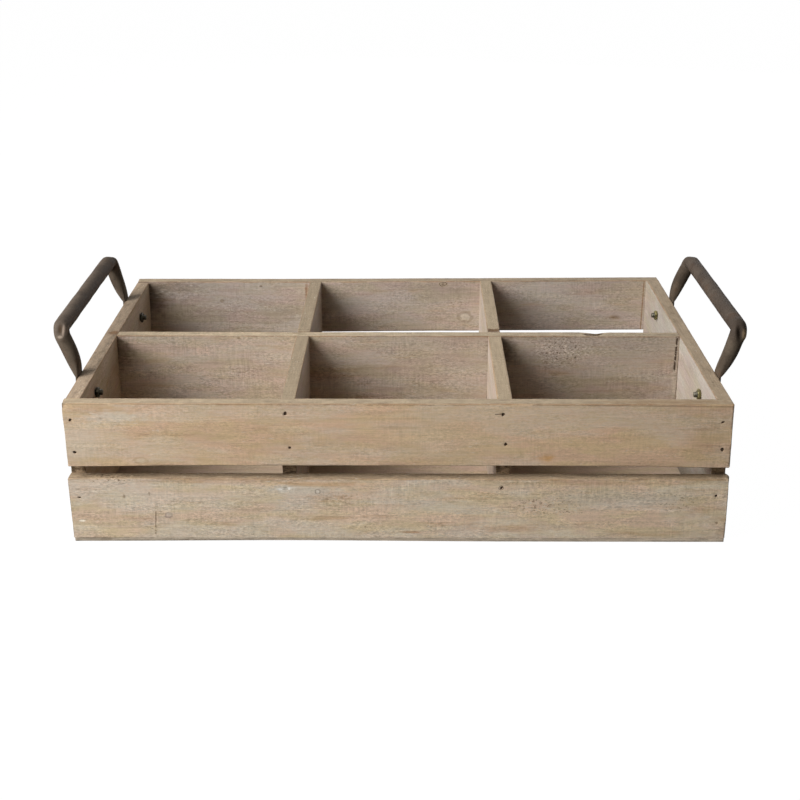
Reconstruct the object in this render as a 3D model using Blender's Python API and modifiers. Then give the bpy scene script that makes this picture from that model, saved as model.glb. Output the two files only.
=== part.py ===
# Compartment planter box: a nailed softwood tray with two slatted sides, two solid
# ends, six square compartments and a bolted tube handle on each end.
# Metres, +Z up. X runs along the box and Y from its front to its rear. The origin is
# the middle of the underside.

from itertools import cycle
from math import atan2, cos, pi, sin, tan

import bmesh
import bpy
from mathutils import Matrix, Vector

# Driving sizes of the tray. A name more in a list of dividers is a compartment more.
CROSS_DIVIDER_NAMES = ("left_cross_divider", "right_cross_divider")
LONG_DIVIDER_NAMES = ("long_divider",)
COMPARTMENT_LENGTH = 0.152
COMPARTMENT_WIDTH = 0.152
BOARD_THICKNESS = 0.011
UPPER_SLAT_HEIGHT = 0.050
LOWER_SLAT_HEIGHT = 0.049
SLAT_GAP = 0.0108
BASE_THICKNESS = 0.003
BOARD_EDGE_ROUND = 0.0005
BASE_EDGE_ROUND = 0.0004
EDGE_SEGMENTS = 2
# The tray was put together by eye. The right end of its rear wall stands this much further
# back than the left end, and the rear end of each cross divider this much further right
# than its front end.
REAR_WALL_SKEW = 0.012
CROSS_DIVIDER_SKEW = 0.0034

# Fits between pieces
TOUCH_GAP = 0.0003
NOTCH_CLEARANCE = 0.0005
DIVIDER_END_GAP = 0.0009
HOLE_CLEARANCE = 0.0003
OVERRUN = 0.002

# Handles: a steel tube, pinched at two bends, with its legs hammered flat. They were
# bent and drilled for by hand, so each side has its own reach, place and bolt heights.
TUBE_DIAMETER = 0.012
HANDLE_SPAN = 0.206
HANDLE_RISE = 0.0370
BEND_RADIUS = 0.0085
FLAT_WIDTH = 0.017
FLAT_THICKNESS = 0.0026
TAB_BELOW_BOLT = 0.009
LEFT_HANDLE_REACH = 0.0134
RIGHT_HANDLE_REACH = 0.0168
LEFT_HANDLE_SHIFT = 0.0002
RIGHT_HANDLE_SHIFT = 0.0024
LEFT_BOLT_DROPS = (0.0154, 0.0178)
RIGHT_BOLT_DROPS = (0.0174, 0.0155)
TUBE_SIDES = 18
BEND_STEPS = 6
# How flat a leg is, against how far down it is from the bend to the tray
FLATTEN_SHARES = ((0.0, 0.0), (0.2, 0.08), (0.4, 0.26), (0.6, 0.52), (0.8, 0.80), (1.0, 1.0))
# What the pinch leaves of the tube across a bend, and how it swells the other way
PINCH_SHARE = 0.80
SWELL_SHARE = 1.12
# Corners of a section of the tube: a power of 2 is an ellipse, and more is squarer
ROUND_POWER = 2.0
FLAT_POWER = 4.5

# M5 bolts and thin nuts that hold the handles
BOLT_DIAMETER = 0.005
BOLT_END_LENGTH = 0.0020
BOLT_END_CHAMFER = 0.0005
BOLT_HEAD_DIAMETER = 0.0095
BOLT_HEAD_HEIGHT = 0.0030
BOLT_HEAD_CROWN = 0.0009
DRIVER_SLOT_WIDTH = 0.0012
DRIVER_SLOT_DEPTH = 0.0014
NUT_WIDTH = 0.008
NUT_HEIGHT = 0.0028
NUT_CHAMFER = 0.0004
NUT_FLATS = 6
BOLT_SIDES = 16

# Brads, with their heads sunk below the wood
NAIL_LENGTH = 0.030
BASE_NAIL_LENGTH = 0.020
NAIL_DIAMETER = 0.0016
NAIL_HEAD_DIAMETER = 0.0024
NAIL_HEAD_HEIGHT = 0.0008
NAIL_POINT_LENGTH = 0.0025
NAIL_SINK = 0.0006
NAIL_SIDES = 8
# The nails at each board behind a slat, from left to right: their place across that
# board's thickness, from its middle, and their place up the slat's height
UPPER_NAIL_SHARES = (
    ((-0.08, 0.73), (0.08, 0.21)),
    ((-0.13, 0.84), (0.13, 0.29)),
    ((-0.16, 0.83), (0.06, 0.35)),
    ((-0.19, 0.71), (-0.10, 0.27)),
)
LOWER_NAIL_SHARES = (
    ((0.17, 0.68), (0.25, 0.29)),
    ((-0.13, 0.83),),
    ((-0.14, 0.85),),
    ((-0.27, 0.72), (-0.09, 0.27)),
)
DIVIDER_NAIL_SHARES = (0.75, 0.25)
BASE_NAIL_SHARES = (-0.36, 0.36)

# Modelling tolerances
MERGE_DISTANCE = 0.00001
SHARP_ANGLE = 0.7

# Sizes and places that follow
COLUMNS = len(CROSS_DIVIDER_NAMES) + 1
ROWS = len(LONG_DIVIDER_NAMES) + 1
COLUMN_PITCH = COMPARTMENT_LENGTH + BOARD_THICKNESS
ROW_PITCH = COMPARTMENT_WIDTH + BOARD_THICKNESS
BOX_LENGTH = COLUMNS * COLUMN_PITCH + BOARD_THICKNESS
BOX_WIDTH = ROWS * ROW_PITCH + BOARD_THICKNESS
BOARD_HEIGHT = LOWER_SLAT_HEIGHT + SLAT_GAP + UPPER_SLAT_HEIGHT
BOARD_BOTTOM = BASE_THICKNESS + TOUCH_GAP
BOARD_MIDDLE = BOARD_BOTTOM + BOARD_HEIGHT / 2
BOX_TOP = BOARD_BOTTOM + BOARD_HEIGHT
UPPER_SLAT_BOTTOM = BOX_TOP - UPPER_SLAT_HEIGHT
SLAT_Y = (BOX_WIDTH - BOARD_THICKNESS) / 2
END_X = (BOX_LENGTH - BOARD_THICKNESS) / 2
FRONT_BOARD_END = TOUCH_GAP + BOARD_THICKNESS - BOX_WIDTH / 2
REAR_WALL_TURN = atan2(REAR_WALL_SKEW, BOX_LENGTH)
CROSS_DIVIDER_TURN = -atan2(CROSS_DIVIDER_SKEW, BOX_WIDTH)
CROSS_XS = [COLUMN_PITCH * (i + 1 - COLUMNS / 2) for i in range(COLUMNS - 1)]
LONG_YS = [ROW_PITCH * (i + 1 - ROWS / 2) for i in range(ROWS - 1)]
NUT_CORNER_RADIUS = NUT_WIDTH / 2 / cos(pi / NUT_FLATS)
TAB_OUT = TOUCH_GAP + FLAT_THICKNESS / 2


def clear_scene():
    for obj in list(bpy.data.objects):
        bpy.data.objects.remove(obj, do_unlink=True)


def make_collection(name, hidden=False):
    collection = bpy.data.collections.new(name)
    collection.hide_render = hidden
    bpy.context.scene.collection.children.link(collection)
    return collection


def make_material(name, colour, roughness, metallic=0.0):
    material = bpy.data.materials.new(name)
    material.use_nodes = True
    shader = material.node_tree.nodes["Principled BSDF"]
    shader.inputs["Base Color"].default_value = (*colour, 1.0)
    shader.inputs["Roughness"].default_value = roughness
    shader.inputs["Metallic"].default_value = metallic
    return material


def add_object(name, mesh, collection, location, rotation):
    obj = bpy.data.objects.new(name, mesh)
    obj.location = location
    obj.rotation_euler = rotation
    collection.objects.link(obj)
    return obj


def add_part(name, mesh, material, location, rotation=(0, 0, 0)):
    mesh.materials.append(material)
    return add_object(name, mesh, PARTS, location, rotation)


def add_cutter(name, mesh, location, rotation=(0, 0, 0)):
    cutter = add_object(name, mesh, CUTTERS, location, rotation)
    cutter.hide_render = True
    cutter.display_type = "WIRE"
    return cutter


def box_mesh(name, size):
    mesh = bpy.data.meshes.new(name)
    shape = bmesh.new()
    bmesh.ops.create_cube(shape, size=1.0, matrix=Matrix.Diagonal((*size, 1.0)))
    shape.to_mesh(mesh)
    shape.free()
    return mesh


def prism_mesh(name, sides, radius, length, turn=0.0):
    mesh = bpy.data.meshes.new(name)
    shape = bmesh.new()
    bmesh.ops.create_cone(
        shape,
        cap_ends=True,
        segments=sides,
        radius1=radius,
        radius2=radius,
        depth=length,
        matrix=Matrix.Rotation(turn, 4, "Z"),
    )
    shape.to_mesh(mesh)
    shape.free()
    return mesh


def profile_mesh(name, points):
    """A line of (radius, height) points from top to bottom, ready to be turned."""
    mesh = bpy.data.meshes.new(name)
    edges = [(i, i + 1) for i in range(len(points) - 1)]
    mesh.from_pydata([(radius, 0, height) for radius, height in points], edges, [])
    return mesh


def turn_profile(obj, sides):
    screw = obj.modifiers.new("turn", "SCREW")
    screw.steps = sides
    screw.render_steps = sides
    screw.use_merge_vertices = True
    screw.merge_threshold = MERGE_DISTANCE


def round_edges(obj, width):
    bevel = obj.modifiers.new("edges", "BEVEL")
    bevel.width = width
    bevel.segments = EDGE_SEGMENTS


def cut(obj, cutters):
    """Takes all of these cutters out of the object with one Boolean."""
    group = bpy.data.collections.new(obj.name + "_cutters")
    group.hide_render = True
    CUTTERS.children.link(group)
    for cutter in cutters:
        group.objects.link(cutter)
    boolean = obj.modifiers.new("cuts", "BOOLEAN")
    boolean.operand_type = "COLLECTION"
    boolean.collection = group
    boolean.solver = "EXACT"


def cut_later(board, cutter):
    CUTS.setdefault(board.name, []).append(cutter)


def rear_set_back(x):
    """How much further back the rear wall stands here than at its left end."""
    return REAR_WALL_SKEW * (x / BOX_LENGTH + 1 / 2)


def add_board(name, size, location, turn=0.0):
    board = add_part(name, box_mesh(name, size), WOOD, location, (0, 0, turn))
    round_edges(board, BOARD_EDGE_ROUND)
    return board


def add_front_slat(name, bottom, height):
    size = (BOX_LENGTH, BOARD_THICKNESS, height)
    return add_board(name, size, (0, -SLAT_Y, bottom + height / 2))


def add_rear_slat(name, bottom, height):
    size = (BOX_LENGTH, BOARD_THICKNESS, height)
    place = (0, SLAT_Y + rear_set_back(0), bottom + height / 2)
    return add_board(name, size, place, REAR_WALL_TURN)


def add_crosswise_board(name, x, turn=0.0):
    """A board from the front slats to the rear ones, cut to the nearer edge of the rear ones."""
    rear = BOX_WIDTH / 2 + rear_set_back(x - BOARD_THICKNESS / 2) - BOARD_THICKNESS / cos(REAR_WALL_TURN)
    length = rear - TOUCH_GAP - FRONT_BOARD_END
    lean = BOARD_THICKNESS * sin(abs(turn))
    size = (BOARD_THICKNESS, length - lean, BOARD_HEIGHT)
    y = FRONT_BOARD_END + length / 2
    return add_board(name, size, (x - y * sin(turn), y, BOARD_MIDDLE), turn)


def add_end_board(name, side):
    return add_crosswise_board(name, side * END_X)


def add_long_divider(name, y):
    """A divider along the box, notched from below over each cross divider."""
    left = TOUCH_GAP + BOARD_THICKNESS - BOX_LENGTH / 2
    right = BOX_LENGTH / 2 - BOARD_THICKNESS - DIVIDER_END_GAP
    size = (right - left, BOARD_THICKNESS, BOARD_HEIGHT)
    divider = add_board(name, size, ((left + right) / 2, y, BOARD_MIDDLE))
    top = BOARD_MIDDLE + TOUCH_GAP / 2
    bottom = BOARD_BOTTOM - OVERRUN
    notch = (BOARD_THICKNESS + 2 * NOTCH_CLEARANCE, BOARD_THICKNESS + 2 * OVERRUN, top - bottom)
    for number, x in enumerate(CROSS_XS, 1):
        notch_name = f"{name}_notch_{number}"
        cut_later(divider, add_cutter(notch_name, box_mesh(notch_name, notch), (x, y, (top + bottom) / 2)))
    return divider


def add_cross_divider(name, x):
    """A divider from the front slats to the rear ones, notched from above."""
    divider = add_crosswise_board(name, x, CROSS_DIVIDER_TURN)
    top = BOX_TOP + OVERRUN
    bottom = BOARD_MIDDLE - TOUCH_GAP / 2
    notch = (BOARD_THICKNESS + 2 * OVERRUN, BOARD_THICKNESS + 2 * NOTCH_CLEARANCE, top - bottom)
    for number, y in enumerate(LONG_YS, 1):
        notch_name = f"{name}_notch_{number}"
        cut_later(divider, add_cutter(notch_name, box_mesh(notch_name, notch), (x, y, (top + bottom) / 2)))
    return divider


def add_base_panel(name):
    """A thin panel under the walls, sawn to the line of the rear one."""
    mesh = box_mesh(name, (BOX_LENGTH, BOX_WIDTH, BASE_THICKNESS))
    for vertex in mesh.vertices:
        if vertex.co.y > 0:
            vertex.co.y += rear_set_back(vertex.co.x)
    base = add_part(name, mesh, PLYWOOD, (0, 0, BASE_THICKNESS / 2))
    round_edges(base, BASE_EDGE_ROUND)
    return base


def nail_profile(length, clearance=0.0):
    """A brad with its head at the origin, grown all round by a clearance to make its hole."""
    head = NAIL_HEAD_DIAMETER / 2 + clearance
    shank = NAIL_DIAMETER / 2 + clearance
    return [
        (0, OVERRUN if clearance else 0),
        (head, OVERRUN if clearance else 0),
        (head, -NAIL_HEAD_HEIGHT - clearance),
        (shank, -NAIL_HEAD_HEIGHT - clearance),
        (shank, NAIL_POINT_LENGTH - length),
        (0, -length - clearance),
    ]


def add_nail(name, location, rotation, length, boards):
    """A nail with its head at its place, and its hole through the boards that it holds."""
    nail = add_part(name, profile_mesh(name, nail_profile(length)), NAIL_STEEL, location, rotation)
    turn_profile(nail, NAIL_SIDES)
    hole_name = name + "_hole"
    hole_mesh = profile_mesh(hole_name, nail_profile(length, HOLE_CLEARANCE))
    hole = add_cutter(hole_name, hole_mesh, location, rotation)
    turn_profile(hole, NAIL_SIDES)
    for board in boards:
        cut_later(board, hole)


def nail_slat(slat, side, bottom, height, boards, shares):
    """Nails a slat to each of the boards behind it."""
    rotation = (-side * pi / 2, 0, 0)
    number = 0
    for board, pairs in zip(boards, cycle(shares)):
        board_x = board.location.x - (side * SLAT_Y - board.location.y) * sin(board.rotation_euler.z)
        for across_share, up_share in pairs:
            number += 1
            x = board_x + across_share * BOARD_THICKNESS
            y = side * (BOX_WIDTH / 2 - NAIL_SINK) + (rear_set_back(x) if side > 0 else 0)
            name = f"{slat.name.replace('_slat', '')}_nail_{number}"
            add_nail(name, (x, y, bottom + up_share * height), rotation, NAIL_LENGTH, (slat, board))


def nail_divider(end_board, side, divider):
    rotation = (0, side * pi / 2, 0)
    x = side * (BOX_LENGTH / 2 - NAIL_SINK)
    for number, up_share in enumerate(DIVIDER_NAIL_SHARES, 1):
        name = f"{end_board.name.replace('_end_board', '')}_{divider.name}_nail_{number}"
        place = (x, divider.location.y, BOARD_BOTTOM + up_share * BOARD_HEIGHT)
        add_nail(name, place, rotation, NAIL_LENGTH, (end_board, divider))


def nail_base(base, end_board):
    for number, along_share in enumerate(BASE_NAIL_SHARES, 1):
        name = f"{end_board.name.replace('_end_board', '')}_base_nail_{number}"
        place = (end_board.location.x, along_share * BOX_WIDTH, NAIL_SINK)
        add_nail(name, place, (pi, 0, 0), BASE_NAIL_LENGTH, (base, end_board))


def bend_points(corner, before, after):
    """The arc between two straight runs, as points with how deep in the bend each one is."""
    turn = before.angle(after)
    start = corner - before * BEND_RADIUS * tan(turn / 2)
    inward = (after - before * before.dot(after)).normalized()
    points = []
    for step in range(BEND_STEPS + 1):
        angle = turn * step / BEND_STEPS
        offset = before * sin(angle) + inward * (1 - cos(angle))
        points.append((start + offset * BEND_RADIUS, sin(pi * step / BEND_STEPS)))
    return points


def half_handle(reach, tab_length):
    """Places from a tab's end up to the grip: point, flatness and depth in the bend."""
    tab_end = Vector((TAB_OUT, -HANDLE_SPAN / 2, -tab_length))
    tab_top = Vector((TAB_OUT, -HANDLE_SPAN / 2, 0))
    corner = Vector((reach, -HANDLE_SPAN / 2, HANDLE_RISE))
    bend = bend_points(corner, (corner - tab_top).normalized(), Vector((0, 1, 0)))
    leg_top = bend[0][0]
    places = [(tab_end, 1.0, 0.0)]
    for down_share, flatness in reversed(FLATTEN_SHARES):
        places.append((leg_top.lerp(tab_top, down_share), flatness, 0.0))
    places += [(point, 0.0, depth) for point, depth in bend[1:]]
    return places


def tube_outline(flatness, depth):
    """A section of the tube as (across, out) pairs: round, hammered flat or pinched."""
    width = TUBE_DIAMETER + (FLAT_WIDTH - TUBE_DIAMETER) * flatness
    thickness = TUBE_DIAMETER + (FLAT_THICKNESS - TUBE_DIAMETER) * flatness
    width *= 1 + (PINCH_SHARE - 1) * depth
    thickness *= 1 + (SWELL_SHARE - 1) * depth
    power = 2 / (ROUND_POWER + (FLAT_POWER - ROUND_POWER) * flatness)
    outline = []
    for side in range(TUBE_SIDES):
        angle = 2 * pi * (side + 0.5) / TUBE_SIDES
        across = abs(cos(angle)) ** power * (1 if cos(angle) > 0 else -1)
        out = abs(sin(angle)) ** power * (1 if sin(angle) > 0 else -1)
        outline.append((across * width / 2, out * thickness / 2))
    return outline


def handle_rings(reach, tab_length):
    """The rings of a whole handle, from its front tab over the grip to its rear one."""
    half = half_handle(reach, tab_length)
    mirrored = [(Vector((p.x, -p.y, p.z)), flatness, depth) for p, flatness, depth in reversed(half)]
    places = half + mirrored
    lean = atan2(reach - TAB_OUT, HANDLE_RISE)
    rings = []
    for index, (place, flatness, depth) in enumerate(places):
        ends = (0, len(places) - 1)
        before = places[max(index - 1, 0)][0]
        after = places[min(index + 1, len(places) - 1)][0]
        along = (after - before).normalized()
        out = Vector((1, 0, 0)) if index in ends else Vector((cos(lean), 0, -sin(lean)))
        out = (out - along * out.dot(along)).normalized()
        across = along.cross(out)
        rings.append([place + across * a + out * o for a, o in tube_outline(flatness, depth)])
    return rings


def loft_mesh(name, rings):
    """A closed skin over rings that all have as many points."""
    mesh = bpy.data.meshes.new(name)
    shape = bmesh.new()
    loops = [[shape.verts.new(point) for point in ring] for ring in rings]
    count = len(rings[0])
    for loop, following in zip(loops, loops[1:]):
        for side in range(count):
            beside = (side + 1) % count
            shape.faces.new((loop[side], loop[beside], following[beside], following[side]))
    shape.faces.new(reversed(loops[0]))
    shape.faces.new(loops[-1])
    bmesh.ops.recalc_face_normals(shape, faces=shape.faces)
    shape.to_mesh(mesh)
    shape.free()
    mesh.shade_smooth()
    mesh.set_sharp_from_angle(angle=SHARP_ANGLE)
    return mesh


def add_handle(name, side, reach, shift, tab_length):
    """Lofted reaching out to +X, and turned round for the left end."""
    mesh = loft_mesh(name, handle_rings(reach, tab_length))
    turn = 0 if side > 0 else pi
    return add_part(name, mesh, DARK_STEEL, (side * BOX_LENGTH / 2, shift, BOX_TOP), (0, 0, turn))


def add_bolt_bore(name, side, y, z):
    """The bolt's bore through a handle's tab and the end board."""
    length = TOUCH_GAP + FLAT_THICKNESS + BOARD_THICKNESS + 2 * OVERRUN
    mesh = prism_mesh(name, BOLT_SIDES, BOLT_DIAMETER / 2 + HOLE_CLEARANCE, length)
    x = side * (BOX_LENGTH / 2 + (TOUCH_GAP + FLAT_THICKNESS - BOARD_THICKNESS) / 2)
    return add_cutter(name, mesh, (x, y, z), (0, pi / 2, 0))


def add_bolt(name, side, y, z):
    """A slotted pan head on the tab, and a shank that ends beyond the nut."""
    head = BOLT_HEAD_DIAMETER / 2
    shank = BOLT_DIAMETER / 2
    tip = -(4 * TOUCH_GAP + FLAT_THICKNESS + BOARD_THICKNESS + NUT_HEIGHT + BOLT_END_LENGTH)
    points = [
        (0, BOLT_HEAD_HEIGHT),
        (head - BOLT_HEAD_CROWN, BOLT_HEAD_HEIGHT),
        (head, BOLT_HEAD_HEIGHT - BOLT_HEAD_CROWN),
        (head, 0),
        (shank, 0),
        (shank, tip + BOLT_END_CHAMFER),
        (shank - BOLT_END_CHAMFER, tip),
        (0, tip),
    ]
    x = side * (BOX_LENGTH / 2 + 2 * TOUCH_GAP + FLAT_THICKNESS)
    bolt = add_part(name, profile_mesh(name, points), ZINC, (x, y, z), (0, side * pi / 2, 0))
    turn_profile(bolt, BOLT_SIDES)
    slot_name = name + "_slot"
    slot = (DRIVER_SLOT_DEPTH + OVERRUN, BOLT_HEAD_DIAMETER + 2 * OVERRUN, DRIVER_SLOT_WIDTH)
    slot_x = x + side * (BOLT_HEAD_HEIGHT - DRIVER_SLOT_DEPTH + slot[0] / 2)
    cut(bolt, [add_cutter(slot_name, box_mesh(slot_name, slot), (slot_x, y, z))])


def add_nut(name, side, y, z):
    """A hexagon standing on a corner, chamfered at both faces and bored for the bolt."""
    half = NUT_HEIGHT / 2
    points = [
        (0, half),
        (NUT_CORNER_RADIUS - NUT_CHAMFER, half),
        (NUT_CORNER_RADIUS, half - NUT_CHAMFER),
        (NUT_CORNER_RADIUS, NUT_CHAMFER - half),
        (NUT_CORNER_RADIUS - NUT_CHAMFER, -half),
        (0, -half),
    ]
    x = side * (BOX_LENGTH / 2 - BOARD_THICKNESS - TOUCH_GAP - half)
    place = (x, y, z)
    rotation = (0, side * pi / 2, 0)
    nut = add_part(name, profile_mesh(name, points), ZINC, place, rotation)
    turn_profile(nut, 2 * BOLT_SIDES)
    length = NUT_HEIGHT + 2 * OVERRUN
    flats_name = name + "_flats"
    flats_mesh = prism_mesh(flats_name, NUT_FLATS, NUT_CORNER_RADIUS, length, pi / NUT_FLATS)
    flats = nut.modifiers.new("flats", "BOOLEAN")
    flats.operation = "INTERSECT"
    flats.object = add_cutter(flats_name, flats_mesh, place, rotation)
    flats.solver = "EXACT"
    bore_name = name + "_bore"
    bore = prism_mesh(bore_name, BOLT_SIDES, BOLT_DIAMETER / 2 + HOLE_CLEARANCE, length)
    cut(nut, [add_cutter(bore_name, bore, place, rotation)])


def fit_handle(end_board, side, reach, shift, drops):
    """A handle on its end board, with the bolt and nut of each leg."""
    end = end_board.name.replace("_end_board", "")
    handle = add_handle(end + "_handle", side, reach, shift, max(drops) + TAB_BELOW_BOLT)
    bores = []
    for leg, leg_side, drop in zip(("front", "rear"), (-1, 1), drops):
        y = shift + leg_side * HANDLE_SPAN / 2
        z = BOX_TOP - drop
        bores.append(add_bolt_bore(f"{end}_{leg}_bolt_bore", side, y, z))
        add_bolt(f"{end}_{leg}_bolt", side, y, z)
        add_nut(f"{end}_{leg}_nut", side, y, z)
    cut(handle, bores)
    for bore in bores:
        cut_later(end_board, bore)


def build():
    front_upper = add_front_slat("front_upper_slat", UPPER_SLAT_BOTTOM, UPPER_SLAT_HEIGHT)
    front_lower = add_front_slat("front_lower_slat", BOARD_BOTTOM, LOWER_SLAT_HEIGHT)
    rear_upper = add_rear_slat("rear_upper_slat", UPPER_SLAT_BOTTOM, UPPER_SLAT_HEIGHT)
    rear_lower = add_rear_slat("rear_lower_slat", BOARD_BOTTOM, LOWER_SLAT_HEIGHT)
    left_end = add_end_board("left_end_board", -1)
    right_end = add_end_board("right_end_board", 1)
    long_dividers = [add_long_divider(name, y) for name, y in zip(LONG_DIVIDER_NAMES, LONG_YS)]
    cross_dividers = [add_cross_divider(name, x) for name, x in zip(CROSS_DIVIDER_NAMES, CROSS_XS)]
    base = add_base_panel("base_panel")
    boards = [left_end] + cross_dividers + [right_end]
    for slat, side in ((front_upper, -1), (rear_upper, 1)):
        nail_slat(slat, side, UPPER_SLAT_BOTTOM, UPPER_SLAT_HEIGHT, boards, UPPER_NAIL_SHARES)
    for slat, side in ((front_lower, -1), (rear_lower, 1)):
        nail_slat(slat, side, BOARD_BOTTOM, LOWER_SLAT_HEIGHT, boards, LOWER_NAIL_SHARES)
    for end_board, side in ((left_end, -1), (right_end, 1)):
        nail_base(base, end_board)
        for divider in long_dividers:
            nail_divider(end_board, side, divider)
    fit_handle(left_end, -1, LEFT_HANDLE_REACH, LEFT_HANDLE_SHIFT, LEFT_BOLT_DROPS)
    fit_handle(right_end, 1, RIGHT_HANDLE_REACH, RIGHT_HANDLE_SHIFT, RIGHT_BOLT_DROPS)
    for name, cutters in CUTS.items():
        cut(bpy.data.objects[name], cutters)


clear_scene()
PARTS = make_collection("compartment_planter_box")
CUTTERS = make_collection("cutters", hidden=True)
# The cutters of each board, by its name, until it is cut
CUTS = {}
WOOD = make_material("washed_softwood", (0.52, 0.40, 0.28), 0.85)
PLYWOOD = make_material("plywood", (0.36, 0.27, 0.19), 0.88)
DARK_STEEL = make_material("dark_steel", (0.075, 0.060, 0.050), 0.55, 0.6)
ZINC = make_material("dulled_zinc", (0.30, 0.27, 0.16), 0.45, 0.9)
NAIL_STEEL = make_material("nail_steel", (0.10, 0.08, 0.07), 0.6, 0.8)
build()
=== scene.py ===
# Looks of the compartment planter box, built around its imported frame: sawn and washed
# boards, hammered tube handles, threaded fasteners, a plain white studio and the camera.
# Metres, +Z up. X runs along the box and Y from its front to its rear. The lists of warps,
# bites, dents and marks, and the sizes of noise, are in millimetres.
from dataclasses import dataclass
from itertools import product
from math import atan2, cos, pi, radians, sin, tan

import bmesh
import bpy
import numpy as np
from mathutils import Matrix, Vector


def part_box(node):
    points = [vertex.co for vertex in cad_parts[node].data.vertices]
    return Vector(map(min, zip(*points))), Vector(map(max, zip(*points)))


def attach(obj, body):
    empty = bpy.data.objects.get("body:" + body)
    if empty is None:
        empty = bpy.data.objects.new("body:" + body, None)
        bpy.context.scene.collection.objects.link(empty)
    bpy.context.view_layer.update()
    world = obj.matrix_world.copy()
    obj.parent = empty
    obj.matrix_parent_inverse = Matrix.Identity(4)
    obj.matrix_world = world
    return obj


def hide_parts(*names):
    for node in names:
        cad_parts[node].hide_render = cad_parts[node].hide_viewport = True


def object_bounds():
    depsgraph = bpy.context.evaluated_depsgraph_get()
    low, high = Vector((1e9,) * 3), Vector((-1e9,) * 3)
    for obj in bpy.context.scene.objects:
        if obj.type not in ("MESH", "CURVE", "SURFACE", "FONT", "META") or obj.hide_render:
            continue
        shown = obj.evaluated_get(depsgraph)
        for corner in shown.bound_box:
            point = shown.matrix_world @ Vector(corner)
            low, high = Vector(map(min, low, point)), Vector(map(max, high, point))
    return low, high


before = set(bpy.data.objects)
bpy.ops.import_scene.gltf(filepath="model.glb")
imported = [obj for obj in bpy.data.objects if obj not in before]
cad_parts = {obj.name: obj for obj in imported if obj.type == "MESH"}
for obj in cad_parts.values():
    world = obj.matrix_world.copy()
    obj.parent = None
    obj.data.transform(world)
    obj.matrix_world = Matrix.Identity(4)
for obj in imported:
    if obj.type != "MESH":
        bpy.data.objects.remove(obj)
CAD_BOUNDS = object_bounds()
BOX_MIDDLE = (CAD_BOUNDS[0] + CAD_BOUNDS[1]) / 2
BODY = "root"

# Camera, fitted to the box's edges in the photograph, which is square
IMAGE_SIZE = 800
FOCAL_PIXELS = 1455.17
PRINCIPAL_ROW = 354.40
SENSOR_WIDTH_MM = 36.0
CAMERA_PLACE = (0.0010, -1.1815, 0.4959)
CAMERA_PITCH = 18.7561
CAMERA_YAW = 0.0022
CAMERA_ROLL = 0.0936

# Studio: one soft window high on the left and a weaker one above, as in the photograph, and
# low fills for the sides that it doesn't show. Each lamp is a direction, a distance, a size
# and a power.
FLOOR_SIZE = 12.0
FLOOR_GREY = (0.32, 0.32, 0.32, 1.0)
FLOOR_WHITE = 1.06
FLOOR_WHITE_SHARE = 0.94
WHITE = (1.0, 1.0, 1.0, 1.0)
WORLD_COLOUR = (0.93, 0.96, 1.0, 1.0)
WORLD_STRENGTH = 0.02
LAMPS = {
    "key": ((-0.75, -0.45, 0.60), 1.7, 1.05, 38.8),
    "top": ((-0.45, -0.30, 0.90), 1.6, 1.0, 5.5),
    "rear_fill": ((0.30, 1.00, 0.28), 2.5, 1.6, 20.0),
    "right_fill": ((1.00, 0.25, 0.14), 2.5, 1.2, 5.0),
}

# Boards. A warp shifts the board round a place, over these reaches, by this much along X, Y
# and Z. A bite is a hollow of this depth, or a lump where the depth is negative.
GRID_STEP = {"base_panel": 0.004, "front_lower_slat": 0.0013, "front_upper_slat": 0.0015}
USUAL_STEP = 0.002
EDGE_RADIUS = 0.0005
CRISP_RADIUS = 0.0003
SNUG_END = 0.0009
SNUG_FOOT = 0.0006
ROUGH_EDGES = {"front_lower_slat": 1.5, "front_upper_slat": 1.0}
USUAL_ROUGHNESS = 0.45
DIMPLE_RADIUS = 0.0022
DIMPLE_DEPTH = 0.0002
WARPS = {
    "front_upper_slat": [
        ((-250, -163, 113), (30, 1000, 19), (-1.2, 0, 0)),
        ((-250, -163, 63), (60, 1000, 10), (0.4, 0, -1.2)),
        ((250, -163, 63), (60, 1000, 12), (0, 0, -1.3)),
    ],
    "front_lower_slat": [
        ((-250, -163, 3), (30, 1000, 20), (1, 0, 0)),
        ((-250, -163, 53), (30, 1000, 12), (-0.5, 0, 0)),
        ((250, -163, 28), (30, 1000, 30), (0.7, 0, 0)),
    ],
    "rear_upper_slat": [
        ((-250, 163, 113), (110, 1000, 25), (0, 0, 1)),
        ((-200, 163, 63), (120, 1000, 20), (0, 0, -0.8)),
    ],
    "right_end_board": [((239, 178, 60), (4, 10, 1000), (-2.4, 0, 0))],
    "left_end_board": [((-245, 0, 113), (20, 120, 50), (-0.7, 0, 0))],
    "base_panel": [
        ((-90, -168.5, 0), (90, 20, 10), (0, 0, 0.8)),
        ((-250, -168.5, 0), (20, 30, 10), (1.8, 0, 0)),
    ],
}
BITES = {
    "front_upper_slat": [((-251.2, -168.5, 113), (5, 5, 5), 0.9)],
    "front_lower_slat": [((250, -162, 51.5), (2.2, 4, 1.4), -1.6)],
    "long_divider": [
        ((168, 5.5, 113), (6, 6, 4.5), 3.4),
        ((-136.1, -5.5, 113), (2, 2, 1.4), 0.4),
    ],
    "right_cross_divider": [((81.7, 11.8, 113), (20, 3.6, 6), 1)],
}
ARC_STEPS = 2
EDGE_BAND = 0.0011
EDGE_TILT = 0.02
WAVE_DEPTH = 0.00018
RIDGE_DEPTH = 0.00007
WEAR_DEPTH = 0.00035
CHIP_DEPTH = 0.0009
NOTCH_CLEARANCE = 0.0005
HOLE_CLEARANCE = 0.00025
OVERRUN = 0.002
GRAIN_SHIFT = 1.7
FACE_BLEND = 0.0003
ARRIS_WIDTH = 0.0014

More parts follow.
